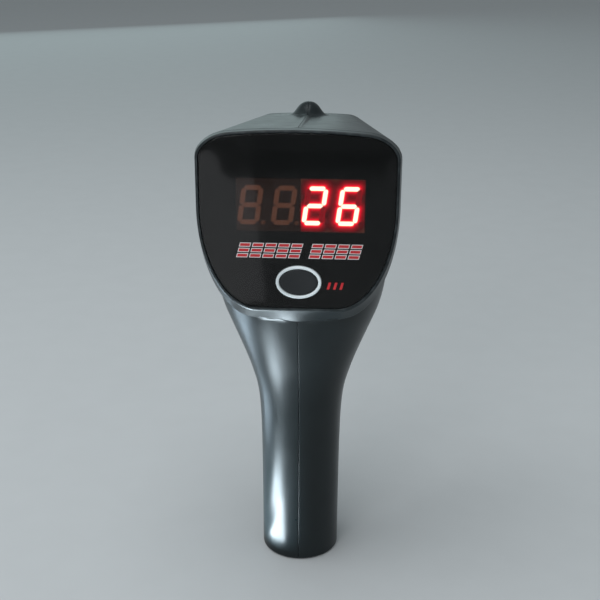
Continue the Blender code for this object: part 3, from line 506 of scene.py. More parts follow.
# (slot, name, colour, (roughness, metallic, specular), (grain scale, height, strength, stretch), spread)
PLAIN_LOOKS = (
    ("key_plastic", "key_plastic", (0.013, 0.015, 0.017), (0.42, 0.0, 0.35), (1900.0, 0.00003, 0.4), 0.05),
    ("white_trim", "white_trim", (0.80, 0.86, 0.88), (0.30,), (1500.0, 0.00001, 0.3), 0.05),
    ("board", "solder_mask", (0.016, 0.095, 0.042), (0.42,),
     (700.0, 0.00004, 0.6, (1.0, 1.0, 0.12)), 0.08),
    ("black_plastic", "black_moulding", (0.011, 0.011, 0.012), (0.55,), (1800.0, 0.00003, 0.5), 0.08),
    ("steel", "zinc_steel", (0.55, 0.56, 0.58), (0.30, 1.0), (900.0, 0.00002, 0.5, (0.1, 1.0, 1.0)), 0.10),
    ("tinned_steel", "tinned_sheet", (0.62, 0.61, 0.58), (0.36, 1.0),
     (500.0, 0.00003, 0.5, (1.0, 1.0, 0.1)), 0.10),
    ("rubber", "rubber", (0.015, 0.015, 0.015), (0.78,), (1400.0, 0.00005, 0.7), 0.08),
    ("cell_sleeve", "shrink_sleeve", (0.03, 0.09, 0.28), (0.34,),
     (160.0, 0.00006, 0.5, (1.0, 1.0, 0.3)), 0.06),
    ("nylon", "nylon", (0.55, 0.55, 0.50), (0.52,), (1200.0, 0.00003, 0.5), 0.07),
    ("red_insulation", "red_insulation", (0.50, 0.02, 0.02), (0.45,), (900.0, 0.00003), 0.07),
    ("black_insulation", "black_insulation", (0.014, 0.014, 0.014), (0.45,), (900.0, 0.00003), 0.07),
    ("grey_insulation", "grey_insulation", (0.28, 0.29, 0.30), (0.45,), (900.0, 0.00003), 0.07),
    ("print_red", "print_red", (0.56, 0.016, 0.022), (0.45,), (2400.0, 0.00001), 0.05),
    ("print_white", "print_white", (0.78, 0.72, 0.72), (0.45,), (2400.0, 0.00001), 0.05),
)


class Look:
    """One procedural material; its nodes read the piece's own coordinates."""

    def __init__(self, name, colour, roughness, metallic=0.0, specular=0.5, variation=0.16):
        self.material = bpy.data.materials.new(name)
        self.material.use_nodes = True
        self.tree = self.material.node_tree
        self.shader = self.tree.nodes["Principled BSDF"]
        self.fill(self.shader, {"Metallic": metallic, "Specular IOR Level": specular})
        self.coordinates = self.add("TexCoord", {}).outputs["Object"]
        self.colour = self.vary_colour(colour, variation)
        self.roughness = roughness

    def fill(self, node, values):
        """Set a node's inputs, each from a socket or a plain value."""
        for name, value in values.items():
            if isinstance(value, bpy.types.NodeSocket):
                self.tree.links.new(value, node.inputs[name])
            else:
                node.inputs[name].default_value = value

    def add(self, kind, values):
        node = self.tree.nodes.new("ShaderNode" + kind)
        self.fill(node, values)
        return node

    def noise(self, scale, detail=3.0, stretch=None):
        """Noise texture's factor; scale is in features per metre."""
        source = self.coordinates
        if stretch is not None:
            source = self.add("Mapping", {"Scale": stretch, "Vector": source}).outputs["Vector"]
        return self.add("TexNoise", {"Scale": scale, "Detail": detail, "Vector": source}).outputs["Fac"]

    def mapped(self, value, low, high, out_low, out_high):
        """Value moved from one range to another and clamped."""
        values = {"Value": value, "From Min": low, "From Max": high, "To Min": out_low, "To Max": out_high}
        return self.add("MapRange", values).outputs["Result"]

    def product(self, first, second):
        node = self.add("Math", {0: first, 1: second})
        node.operation = "MULTIPLY"
        return node.outputs[0]

    def attribute(self, name):
        node = self.add("Attribute", {})
        node.attribute_name = name
        return node.outputs["Fac"]

    def mix(self, factor, first, second):
        """Mix of two colours, each a socket or four numbers."""
        node = self.add("Mix", {})
        node.data_type = "RGBA"
        self.fill(node, {"Factor": factor, "A": first, "B": second})
        return node.outputs["Result"]

    def vary_colour(self, colour, amount):
        """Base colour with a faint, slow variation."""
        patch = self.mapped(self.noise(38.0), 0.3, 0.7, 0.0, 1.0)
        darker, lighter = [(*(c * share for c in colour), 1.0) for share in (1.0 - amount, 1.0 + amount)]
        return self.mix(patch, darker, lighter)

    def wear(self, colour):
        """Rubbed edges, where the mesh's wear attribute is high."""
        patches = self.mapped(self.noise(220.0, 4.0), 0.42, 0.66, 0.0, 0.5)
        self.colour = self.mix(self.product(self.attribute("wear"), patches), self.colour, (*colour, 1.0))
        return self

    def grain(self, scale, height, strength=0.5, stretch=None):
        """Fine bump; height is in metres."""
        values = {"Strength": strength, "Distance": height, "Height": self.noise(scale, 2.0, stretch)}
        self.fill(self.shader, {"Normal": self.add("Bump", values).outputs["Normal"]})
        return self

    def finish(self, spread=0.07, scale=90.0):
        """Link colour and a roughness that wanders by up to ROUGHNESS_REACH spreads."""
        reach = ROUGHNESS_REACH * spread
        rough = self.mapped(self.noise(scale, 2.0), 0.0, 1.0, self.roughness - reach, self.roughness + reach)
        self.fill(self.shader, {"Roughness": rough, "Base Color": self.colour})
        return self.material


def make_looks():
    """The finished material for each slot of the record."""
    looks = {"led_face": make_led_face(), "smoked_window": make_window_look()}
    looks["housing_plastic"] = (Look("slate_plastic", (0.0090, 0.0135, 0.0150), 0.31, specular=0.30)
                                .wear((0.060, 0.070, 0.076)).grain(2600.0, 0.00002, 0.25).finish(0.03))
    for slot, name, colour, shading, grain, spread in PLAIN_LOOKS:
        looks[slot] = Look(name, colour, *shading).grain(*grain).finish(spread)
    return looks


def make_window_look():
    """Smoked acrylic: black and glossy, and the lit digits show through."""
    look = Look("smoked_acrylic", (0.0035, 0.0034, 0.0032), 0.060, specular=0.36)
    look.grain(26.0, 0.00004, 0.12)
    material = look.finish(0.008, 30.0)
    look.shader.inputs["Alpha"].default_value = WINDOW_ALPHA
    return material


def make_led_face():
    """Dark display face whose emission follows the mesh's glow attribute: the lit segments are lamps, while
    the face's faint glow, the halo and the glow of segments that are off are painted light.
    """
    look = Look("led_face", (0.012, 0.008, 0.007), 0.45, specular=0.2)
    look.grain(1500.0, 0.00003, 0.4)
    material = look.finish(0.06)
    ramp = look.add("ValToRGB", {"Fac": look.attribute("glow")})
    # Up to 0.30: painted glow of the face and of segments that are off; up to 0.72: painted red halo and
    # spill; above: the lit segments.
    stops = ((0.05, (0.003, 0.0015, 0.001)), (0.20, (0.014, 0.006, 0.004)), (0.30, (0.062, 0.024, 0.014)),
             (0.36, (0.040, 0.0008, 0.0015)), (0.46, (0.15, 0.001, 0.004)), (0.58, (0.42, 0.001, 0.010)),
             (0.70, (0.95, 0.002, 0.026)), (0.78, (1.0, 0.02, 0.045)), (0.88, (1.0, 0.60, 0.28)),
             (1.0, (1.0, 0.96, 0.74)))
    elements = ramp.color_ramp.elements
    while len(elements) < len(stops):
        elements.new(1.0)
    for element, (position, colour) in zip(elements, stops):
        element.position = position
        element.color = (*colour, 1.0)
    look.fill(look.shader, {"Emission Color": ramp.outputs["Color"], "Emission Strength": LED_STRENGTH})
    return material


# ---- shells

def section_frames():
    """Section centres and in-plane directions from the grip's base to the barrel's front."""
    frames = []
    base = [share * BASE_ROUND for share in (0.0, 0.04, 0.15, 0.35, 0.65, 1.0)]
    for z in base + list(np.arange(5.0, 108.1, 3.2)):
        frames.append(((0.0, z), (-1.0, 0.0)))
    steps = np.linspace(1.0, 170.0, 700)
    for degrees in np.arange(0.0, 89.1, 1.0):
        turn = math.radians(degrees)
        toward = np.array([-math.cos(turn), math.sin(turn)])
        y = PIVOT_Y + toward[0] * steps
        z = PIVOT_Z + toward[1] * steps
        inside = steps[body_distance(np.zeros_like(y), y, z) < -WALL - 1.0]
        middle = (inside.min() + inside.max()) / 2.0
        frames.append(((PIVOT_Y + toward[0] * middle, PIVOT_Z + toward[1] * middle), tuple(toward)))
    front = [SHELL_FRONT_Y - share * END_ROUND for share in reversed(ROUND_STEPS)]
    bump = list(np.arange(57.5, 84.0, 1.0))
    for y in [PIVOT_Y, 48.5, 51.0, 53.5, 55.5] + bump + front:
        middle_z = (BOTTOM_Z[1] + barrel_top(y)) / 2.0
        frames.append(((y, float(middle_z)), (0.0, 1.0)))
    return frames


def shell_columns():
    """(distance from the seam face, turn) of each column of points on one shell."""
    edge = [share * SEAM_ROUND for share in ROUND_STEPS]
    sweep = np.linspace(-1.0, 1.0, 97)
    turns = (1.2 * sweep - 0.2 * sweep ** 3) * math.pi / 2.0
    columns = [(offset, -math.pi / 2.0) for offset in edge[:-1]]
    columns += [(edge[-1], turn) for turn in turns]
    columns += [(offset, math.pi / 2.0) for offset in reversed(edge[:-1])]
    return columns


def shell_grid(side, level):
    """Rows of points on one half of the housing, one row per section."""
    columns = shell_columns()
    offset = np.array([column[0] for column in columns])
    turn = np.array([column[1] for column in columns])
    rows = []
    for (y, z), (toward_y, toward_z) in section_frames():
        directions = np.stack([np.cos(turn) * side, np.sin(turn) * toward_y, np.sin(turn) * toward_z], axis=1)
        start_x = side * (SEAM_HALF_GAP + offset)
        origins = np.stack([start_x, np.full(len(turn), y), np.full(len(turn), z)], axis=1)
        rows.append(solve_rays(body_distance, origins, directions, level))
    return rows


def shell_mesh(side):
    """Half housing with a closed wall, cut flat where the bezel meets it."""
    builder = bmesh.new()
    outer = vertex_rows(builder, shell_grid(side, 0.0))
    inner = vertex_rows(builder, shell_grid(side, -WALL))
    strips(builder, outer, False)
    strips(builder, inner, False)
    strips(builder, [outer[0], inner[0]], False)
    strips(builder, [outer[-1], inner[-1]], False)
    for column in (0, -1):
        strips(builder, [[row[column] for row in outer], [row[column] for row in inner]], False)
    bmesh.ops.recalc_face_normals(builder, faces=builder.faces)
    for share in reversed(ROUND_STEPS):
        geometry = builder.verts[:] + builder.edges[:] + builder.faces[:]
        bmesh.ops.bisect_plane(builder, geom=geometry, plane_co=(0.0, SEAM_Y + share * END_ROUND, 0.0),
                               plane_no=(0.0, -1.0, 0.0), clear_outer=share == 0.0)
    open_edges = [item for item in builder.edges if item.is_boundary]
    bmesh.ops.holes_fill(builder, edges=open_edges, sides=0)
    bmesh.ops.triangulate(builder, faces=[f for f in builder.faces if len(f.verts) > 4])
    settle(builder)
    return builder


def settle(builder):
    """Move the outer face's points onto the rounded housing surface."""
    verts = list(builder.verts)
    points = np.array([vert.co for vert in verts])
    outer = np.abs(body_distance(*points.T)) < 0.3
    for _ in range(3):
        found = points[outer]
        normals = gradient(body_distance, found)
        normals[found[:, 1] < SEAM_Y + 0.01, 1] = 0.0
        normals[found[:, 1] > SHELL_FRONT_Y - 0.01, 1] = 0.0
        normals[found[:, 2] < 0.01, 2] = 0.0
        normals[np.abs(found[:, 0]) < SEAM_HALF_GAP + SEAM_ROUND, 0] = 0.0
        points[outer] = found - normals * shell_distance(*found.T)[:, None]
    for vert, point in zip(verts, points):
        vert.co = point


def post_mesh(side, start_x, y, z, radius):
    """Round post along X that ends inside the wall, point by point."""
    near = ellipse_ring((side * start_x, y, z), (radius, radius), 24, "X")
    far = [(side * wall_x(point[1], point[2]), point[1], point[2]) for point in near]
    return loft_mesh([near, far])


def shell_posts(side):
    """Screw posts and trigger pin posts of one shell."""
    posts = bmesh.new()
    for y, z in SCREWS:
        join_meshes(posts, post_mesh(side, GAP / 2.0, y, z, POST_RADIUS))
    join_meshes(posts, post_mesh(side, TRIGGER_HALF_WIDTH + 1.0, *TRIGGER_PIVOT, PIN_POST_RADIUS))
    return posts


def shell_bores(side):
    """Screw and pin bores, the trigger slot and the base plate's groove of one shell."""
    bores = bmesh.new()
    for y, z in SCREWS:
        outside = wall_x(y, z) + 8.0
        if side > 0:
            profile = ((-1.0, SHANK_BORE_RADIUS), (SCREW_HEAD_X - GAP, SHANK_BORE_RADIUS),
                       (SCREW_HEAD_X - GAP, HEAD_BORE_RADIUS), (outside, HEAD_BORE_RADIUS))
        else:
            profile = ((1.0, SHANK_BORE_RADIUS), (-10.0, SHANK_BORE_RADIUS))
        join_meshes(bores, turned_mesh((0.0, y, z), "X", profile, 40))
    pin = PIN_RADIUS + GAP
    pin_profile = [(side * x, pin) for x in PIN_POST_X]
    join_meshes(bores, turned_mesh((0.0, *TRIGGER_PIVOT), "X", pin_profile, 24))
    slot = sorted((-side * 1.0, side * (TRIGGER_HALF_WIDTH + 0.6)))
    join_meshes(bores, box_mesh((slot[0], 17.0, 110.5), (slot[1], 60.0, 148.5)))
    groove = ((0.0, GROOVE_RADIUS), (GROOVE_Z[1] - GROOVE_Z[0], GROOVE_RADIUS))
    join_meshes(bores, turned_mesh((0.0, 0.0, GROOVE_Z[0]), "Z", groove, 64))
    return bores


def shade_shell(mesh):
    """Normals from the surface itself on the outer face, and a wear value along its edges."""
    points = mesh_points(mesh)
    outer = np.abs(shell_distance(*points.T)) < 0.12
    surface = gradient(shell_distance, points)
    corners = np.empty(len(mesh.loops) * 3)
    mesh.corner_normals.foreach_get("vector", corners)
    corners = corners.reshape(-1, 3)
    indices = np.empty(len(mesh.loops), dtype=np.int64)
    mesh.loops.foreach_get("vertex_index", indices)
    face_normals = np.empty(len(mesh.polygons) * 3)
    mesh.polygons.foreach_get("normal", face_normals)
    totals = np.empty(len(mesh.polygons), dtype=np.int64)
    mesh.polygons.foreach_get("loop_total", totals)
    facing = np.repeat(face_normals.reshape(-1, 3), totals, axis=0)
    agree = np.sum(facing * surface[indices], axis=1) > 0.8
    chosen = np.where((outer[indices] & agree)[:, None], surface[indices], corners)
    mesh.normals_split_custom_set(chosen.tolist())
    depth = shell_distance(*points.T) - body_distance(*points.T)
    write_wear(mesh, np.clip(depth / WEAR_DEPTH, 0.0, 1.0).astype(np.float32) * outer)


def build_shell(name, side, look):
    shell = add_piece(name, shell_mesh(side), look, stands_for=(name,))
    boolean(shell, shell_posts(side), "UNION")
    boolean(shell, shell_bores(side), "DIFFERENCE")
    smooth(shell.data)
    shade_shell(shell.data)


# ---- display head

def build_bezel(look):
    """Frame that closes the shells' rear opening and carries the window."""
    rim_inner = 0.3
    rings = [outline(REAR_Y, POCKET_INSET, POCKET_Y)]
    for turn in quarter_turns(4):
        rings.append(outline(REAR_Y, POCKET_INSET - rim_inner * (1.0 - math.cos(turn)),
                             REAR_Y + rim_inner * (1.0 - math.sin(turn))))
    for turn in quarter_turns(6):
        drop = RIM_ROUND * (1.0 - math.cos(turn))
        rings.append(outline(REAR_Y + drop, RIM_ROUND * (1.0 - math.sin(turn))))
    start = rings[-1]
    end = outline(SEAM_Y, 0.0, SEAM_Y - GAP, body_distance)
    centre = np.array([0.0, 0.0, OUTLINE_CENTRE_Z])
    length = SEAM_Y - GAP - REAR_Y - RIM_ROUND
    shares = list(np.linspace(0.1, 0.9, 7))
    shares += [1.0 - step * END_ROUND / length for step in reversed(ROUND_STEPS)]
    for share in shares:
        ring = start + (end - start) * share
        away = ring - centre
        away[:, 1] = 0.0
        away /= np.linalg.norm(away, axis=1, keepdims=True)
        rings.append(ring - away * float(round_depth((1.0 - share) * length, END_ROUND)))
    rings += [outline(SEAM_Y, LIP_INSET, SEAM_Y - GAP), outline(BEZEL_LIP_Y, LIP_INSET),
              outline(BEZEL_LIP_Y, LIP_INSET + LIP_THICKNESS),
              outline(SEAM_Y, LIP_INSET + LIP_THICKNESS, PLATE_FRONT_Y)]
    bezel = add_piece("rear_bezel", loft_mesh(rings), look, stands_for=("rear_bezel",))
    posts = bmesh.new()
    for x, z in BOARD_SCREWS:
        length = BOARD_REAR_Y - GAP - PLATE_FRONT_Y + 1.0
        join_meshes(posts, turned_mesh((x, PLATE_FRONT_Y - 1.0, z), "Y", ((0.0, 3.0), (length, 3.0)), 24))
    boolean(bezel, posts, "UNION")
    holes = bmesh.new()
    for x, z in BOARD_SCREWS:
        join_meshes(holes, turned_mesh((x, PLATE_FRONT_Y, z), "Y",
                                       ((0.2, SHANK_BORE_RADIUS), (8.0, SHANK_BORE_RADIUS)), 24))
    left_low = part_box("led_module_left")[0] / MM
    right_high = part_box("led_module_right")[1] / MM
    join_meshes(holes, box_mesh((left_low.x - GAP, POCKET_Y - 1.0, left_low.z - GAP),
                                (right_high.x + GAP, PLATE_FRONT_Y + 1.0, right_high.z + GAP)))
    key = centre_of("button_ring")
    join_meshes(holes, loft_mesh([ellipse_ring((key.x, y, key.z), KEY_HOLE, 96)
                                  for y in (POCKET_Y - 1.0, PLATE_FRONT_Y + 1.0)]))
    boolean(bezel, holes, "DIFFERENCE")
    smooth(bezel.data)
    mark_wear(bezel, lambda p: (p[:, 1] < REAR_Y + 0.35) | (np.abs(p[:, 1] - SEAM_Y + GAP) < 0.3))


def mark_wear(piece, worn_where):
    """Write the wear attribute, 1 where worn_where says so for points in millimetres."""
    write_wear(piece.data, worn_where(mesh_points(piece.data)).astype(np.float32))


def build_window(look):
    """Smoked window with a polished edge and an oval hole for the key."""
    inset = POCKET_INSET + GAP
    edge = 0.35
    rings = []
    for turn in quarter_turns(4):
        rings.append(outline(REAR_Y, inset + edge * (1.0 - math.sin(turn)),
                             REAR_Y + edge * (1.0 - math.cos(turn))))
    rings.append(outline(REAR_Y, inset, POCKET_Y - GAP))
    window = add_piece("display_window", loft_mesh(rings), look, stands_for=("display_window",))
    key = centre_of("button_ring")
    hole = (KEY_RING[0] + GAP, KEY_RING[1] + GAP)
    cutter = loft_mesh([ellipse_ring((key.x, y, key.z), hole, 96) for y in (REAR_Y - 2.0, POCKET_Y + 1.0)])
    boolean(window, cutter, "DIFFERENCE")
    smooth(window.data)


def build_key(looks):
    """White oval ring with rounded edges, and the dished key inside it."""
    key = centre_of("button_ring")
    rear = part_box("button_ring")[0].y / MM
    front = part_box("button_ring")[1].y / MM
    radius = KEY_RING_LINE / 2.0
    middle = (KEY_RING[0] - radius, KEY_RING[1] - radius)
    rings = [ellipse_ring((key.x, front, key.z), KEY_RING, 96)]
    for step in range(13):
        turn = math.pi * step / 12.0
        across = radius * math.cos(turn)
        y = rear + 0.5 * (1.0 - math.sin(turn))
        rings.append(ellipse_ring((key.x, y, key.z), (middle[0] + across, middle[1] + across), 96))
    rings.append(ellipse_ring((key.x, front, key.z), KEY_HOLE, 96))
    add_piece("button_ring", loop_mesh(rings), looks["white_trim"], stands_for=("button_ring",))
    cap_low, cap_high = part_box("button_cap")
    cap_rear, cap_front = cap_low.y / MM, cap_high.y / MM
    size = (KEY_HOLE[0] - GAP, KEY_HOLE[1] - GAP)
    dish = ((0.35, 0.30), (0.62, 0.18), (0.82, 0.06), (0.92, 0.0), (0.965, 0.04), (0.99, 0.18))
    rings = [ellipse_ring((key.x, cap_rear + depth, key.z), (size[0] * share, size[1] * share), 96)
             for share, depth in dish]
    flange_y = cap_front - 0.8
    rings += [ellipse_ring((key.x, y, key.z), (size[0] + grow, size[1] + grow), 96)
              for y, grow in ((cap_rear + 0.45, 0.0), (flange_y, 0.0), (flange_y, 1.3), (cap_front, 1.3))]
    add_piece("button_cap", loft_mesh(rings), looks["key_plastic"], "function_key",
              stands_for=("button_cap",))


# ---- digits

def segment_lines():
    """Centre lines of the seven segments, as ((u, v), (u, v)), before slanting."""
    u = DIGIT_HALF_WIDTH - SEGMENT_THICKNESS / 2.0
    v = DIGIT_HALF_HEIGHT - SEGMENT_THICKNESS / 2.0
    short = SEGMENT_THICKNESS / 2.0 + SEGMENT_GAP
    return {
        "a": ((-u + short, v), (u - short, v)), "g": ((-u + short, 0.0), (u - short, 0.0)),
        "d": ((-u + short, -v), (u - short, -v)), "f": ((-u, short), (-u, v - short)),
        "b": ((u, short), (u, v - short)), "e": ((-u, -v + short), (-u, -short)),
        "c": ((u, -v + short), (u, -short)),
    }


def line_distance(points, start, end):
    """Distance from points to a line segment, in the digit's plane."""
    a, b = np.array(start), np.array(end)
    share = np.clip(((points - a) @ (b - a)) / np.sum((b - a) ** 2), 0.0, 1.0)
    return np.linalg.norm(points - a - share[:, None] * (b - a), axis=1)


def digit_glow(points, digit_x, digit_z, lit):
    """Painted halo: how strongly a digit's lit segments light points (X, Z) of the face, painted as the
    face's own emission.
    """
    v = points[:, 1] - digit_z
    flat = np.stack([points[:, 0] - digit_x - v * DIGIT_SLANT, v], axis=1)
    glow = np.zeros(len(points))
    for name, (start, end) in segment_lines().items():
        if name in lit:
            away = np.maximum(line_distance(flat, start, end) - SEGMENT_THICKNESS / 2.0, 0.0)
            glow = np.maximum(glow, HALO_FLOOR + HALO_RISE * np.exp(-away / HALO_REACH))
    return glow


def capsule(start, end, radius):
    """Outline of a bar with round ends."""
    a, b = np.array(start), np.array(end)
    along = (b - a) / np.linalg.norm(b - a)
    across = np.array([-along[1], along[0]])
    points = []
    for centre, sign in ((b, 1.0), (a, -1.0)):
        for step in range(CAPSULE_STEPS + 1):
            turn = math.pi * (step / CAPSULE_STEPS - 0.5)
            points.append(centre + sign * radius * (along * math.cos(turn) + across * math.sin(turn)))
    return points


def add_bar(builder, layer, start, end, place, heats):
    """One slightly raised bar of a digit; heats are the glow at its edge and in its middle, which is painted
    glow on a bar that is off.
    """
    digit_x, face_y, digit_z = place
    half = SEGMENT_THICKNESS / 2.0
    levels = ((half, 0.3, heats[0]), (half, -SEGMENT_RISE * 0.6, heats[0]),
              (half - 0.10, -SEGMENT_RISE, heats[0]), (half - 0.30, -SEGMENT_RISE, heats[1]),
              (half - 0.60, -SEGMENT_RISE, heats[2]))
    rows = []
    for radius, depth, heat in levels:
        row = []
        for u, v in capsule(start, end, radius):
            vert = builder.verts.new((digit_x + u + v * DIGIT_SLANT, face_y + depth, digit_z + v))
            vert[layer] = heat
            row.append(vert)
        rows.append(row)
    strips(builder, rows, True)
    builder.faces.new(rows[0])
    builder.faces.new(rows[-1])


def add_face(builder, layer, low, high, glow_of):
    """Module body: a fine grid on the side towards the window, plain on the others."""
    columns = np.linspace(low[0], high[0], int((high[0] - low[0]) / FACE_CELL))
    levels = np.linspace(low[2], high[2], int((high[2] - low[2]) / FACE_CELL))
    rows = []
    for z in levels:
        values = glow_of(np.array([(x, z) for x in columns]))
        row = []
        for x, value in zip(columns, values):
            vert = builder.verts.new((x, low[1], z))
            vert[layer] = value
            row.append(vert)
        rows.append(row)
    strips(builder, rows, False)
    border = [rows[0][i] for i in range(len(columns))] + [row[-1] for row in rows[1:]]
    border += [rows[-1][i] for i in range(len(columns) - 2, -1, -1)] + [row[0] for row in rows[-2:0:-1]]
    back = [builder.verts.new((vert.co.x, high[1], vert.co.z)) for vert in border]
    strips(builder, [border, back], True)
    builder.faces.new(back)


def build_digits(look):
    """Two modules of two digits; the right pair shows a speed, the left pair is unlit but carries a painted
    dim glow.
    """
    shown = {"led_module_left": "  ", "led_module_right": "26"}
    digits = []
    for name, text in shown.items():
        middle = centre_of(name)
        for place, sign in enumerate((-1.0, 1.0)):
            digit_x = middle.x + sign * DIGIT_PITCH / 2.0 + DIGIT_OFFSET
            digits.append((name, digit_x, middle.z, LIT[text[place]]))

    def glow_of(points, module):
        # painted glow over the whole face, then the painted halo of lit segments
        glow = np.full(len(points), PAINTED_FACE_GLOW)
        for name, digit_x, digit_z, lit in digits:
            if lit and name == module:
                glow = np.maximum(glow, digit_glow(points, digit_x, digit_z, lit))
        return glow

    for name in shown:
        low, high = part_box(name)
        low, high = low / MM, high / MM
        builder = bmesh.new()
        layer = builder.verts.layers.float.new("glow")
        add_face(builder, layer, low, high, lambda points: glow_of(points, name))
        for module, digit_x, digit_z, lit in digits:
            if module != name:
                continue
            place = (digit_x, low.y, digit_z)
            for segment, (start, end) in segment_lines().items():
                # segments that are off get painted glow
                heats = LIT_BAR if segment in lit else BESIDE_LIT_BAR_PAINTED_GLOW if lit else UNLIT_BAR_PAINTED_GLOW
                add_bar(builder, layer, start, end, place, heats)
            point_u = DIGIT_HALF_WIDTH + POINT_OFFSET
            point_v = -DIGIT_HALF_HEIGHT + POINT_RADIUS
            # the point is off and gets painted glow
            dim = BESIDE_LIT_POINT_PAINTED_GLOW if lit else UNLIT_POINT_PAINTED_GLOW
            add_bar(builder, layer, (point_u - 0.05, point_v), (point_u + 0.05, point_v), place, dim)
        add_piece(name, builder, look, stands_for=(name,))


# ---- printed marks

def stripe_mesh(x, z_range, width, grow, rise):
    """Slanted bar printed on the window; x is its middle."""
    low, high = z_range[0] - grow, z_range[1] + grow
    middle = (z_range[0] + z_range[1]) / 2.0
    half = width / 2.0 + grow
    corners = []
    for z, signs in ((low, (-1.0, 1.0)), (high, (1.0, -1.0))):
        for sign in signs:
            corners.append((x + sign * half + (z - middle) * STRIPE_SLANT, z))
    return loft_mesh([[(cx, REAR_Y - depth, cz) for cx, cz in corners] for depth in (rise, 0.0)])


def build_prints(looks):
    """Plain slanted bars in place of lettering: red, with white outlines."""
    outlines, fills = bmesh.new(), bmesh.new()
    for first_x, count in STRIPE_STARTS:
        for index in range(count):
            for middle_z in STRIPE_Z:
                x = first_x + index * STRIPE_PITCH + (middle_z - STRIPE_Z[1]) * STRIPE_SLANT
                z_range = (middle_z - STRIPE_HALF_HEIGHT, middle_z + STRIPE_HALF_HEIGHT)
                join_meshes(outlines, stripe_mesh(x, z_range, STRIPE_WIDTH, STRIPE_EDGE, PRINT_RISE / 2.0))
                join_meshes(fills, stripe_mesh(x, z_range, STRIPE_WIDTH, 0.0, PRINT_RISE))
    for x in SMALL_STRIPES_X:
        join_meshes(fills, stripe_mesh(x, SMALL_STRIPE_Z, SMALL_STRIPE_WIDTH, 0.0, PRINT_RISE))
    add_piece("print_outlines", outlines, looks["print_white"])
    add_piece("print_fills", fills, looks["print_red"])


# ---- front end

def build_front(looks):
    """Front ring with rounded edges and the slightly domed antenna cover."""
    shelf_inset, bore_inset = 4.0, 6.4
    shelf_y = FRONT_Y - 4.3
    joint_y = SHELL_FRONT_Y + GAP
    rings = []
    for share in ROUND_STEPS:
        depth = float(round_depth(share * END_ROUND, END_ROUND))
        rings.append(outline(joint_y + share * END_ROUND, depth))
    edge = 1.5
    for turn in quarter_turns(6):
        rings.append(outline(FRONT_Y - edge, edge * 0.87 * (1.0 - math.cos(turn)),
                             FRONT_Y - edge + edge * math.sin(turn)))
    rings += [outline(FRONT_Y, shelf_inset - 0.25), outline(FRONT_Y, shelf_inset, FRONT_Y - 0.25),
              outline(FRONT_Y, shelf_inset, shelf_y), outline(FRONT_Y, bore_inset, shelf_y),
              outline(joint_y, bore_inset, joint_y),
              outline(joint_y, LIP_INSET + LIP_THICKNESS, joint_y - 1.0),
              outline(RING_LIP_Y, LIP_INSET + LIP_THICKNESS), outline(RING_LIP_Y, LIP_INSET),
              outline(joint_y, LIP_INSET)]
    ring = add_piece("front_ring", loop_mesh(rings), looks["housing_plastic"],
                     stands_for=("front_ring",))
    mark_wear(ring, lambda p: (p[:, 1] > FRONT_Y - 0.7) & (p[:, 1] < FRONT_Y + 1.0))
    cover_low, cover_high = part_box("front_cover")
    low_y, high_y = cover_low.y / MM, cover_high.y / MM
    inset = shelf_inset + GAP
    dome = ((0.0, 1.0), (0.12, 0.8), (0.45, 0.62), (1.2, 0.5), (4.0, 0.3), (9.0, 0.12), (14.0, 0.03),
            (18.0, 0.0))
    profile = [(inset, low_y)] + [(inset + inwards, high_y - drop) for inwards, drop in dome]
    cover = loft_mesh([outline(FRONT_Y, ring_inset, y) for ring_inset, y in profile])
    add_piece("front_cover", cover, looks["key_plastic"], stands_for=("front_cover",))


# ---- trigger and base

def arc(centre, radius, degrees):
    """Points (Y, Z) of an arc about a centre."""
    turns = [math.radians(d) for d in degrees]
    return [(centre[0] + radius * math.cos(t), centre[1] + radius * math.sin(t)) for t in turns]


def trigger_profile():
    """Side outline of the trigger, from its pivot boss down the finger curve and back up."""
    points = arc(TRIGGER_PIVOT, TRIGGER_BOSS_RADIUS, np.arange(165.0, 14.0, -7.5))
    points += arc(FINGER_CENTRE, FINGER_RADIUS, np.arange(128.0, 236.0, 4.0))
    points += [(33.4, 115.0), (33.0, 113.0), (32.0, 112.0), (30.5, 111.6), (18.0, 111.6), (18.0, 107.6),
               (15.9, 107.6)]
    return np.array(points)


def inset_outline(points, amount):
    """Closed outline moved inwards along its corners' normals."""
    ahead = np.roll(points, -1, axis=0) - points
    behind = points - np.roll(points, 1, axis=0)
    ahead /= np.linalg.norm(ahead, axis=1, keepdims=True)
    behind /= np.linalg.norm(behind, axis=1, keepdims=True)
    direction = ahead + behind
    direction /= np.maximum(np.linalg.norm(direction, axis=1, keepdims=True), 1e-9)
    normals = np.stack([-direction[:, 1], direction[:, 0]], axis=1)
    middle = points.mean(axis=0)
    flip = np.sign(np.sum((middle - points) * normals, axis=1).sum())
    return points + normals * flip * amount


def build_trigger(look):
    """Trigger blade with rounded edges."""
    profile = trigger_profile()
    half, radius = TRIGGER_HALF_WIDTH, 0.9
    left = [(-half + radius * (1.0 - math.cos(t)), radius * (1.0 - math.sin(t)))
            for t in np.linspace(0.0, math.pi / 2.0, 6)]
    rings = []
    for x, inset in left + [(-x, inset) for x, inset in reversed(left)]:
        rings.append([(x, y, z) for y, z in inset_outline(profile, inset * 0.75)])
    trigger = add_piece("trigger", loft_mesh(rings), look, "trigger", stands_for=("trigger",))
    bore = PIN_RADIUS + GAP
    boolean(trigger, turned_mesh((0.0, *TRIGGER_PIVOT), "X", ((-10.0, bore), (10.0, bore)), 32), "DIFFERENCE")
    boolean(trigger, box_mesh((-2.2, 10.0, 139.5), (2.2, 27.6, 153.0)), "DIFFERENCE")
    smooth(trigger.data)
    mark_wear(trigger, lambda p: (np.abs(p[:, 0]) > half - 0.8) & (p[:, 1] > 24.0))


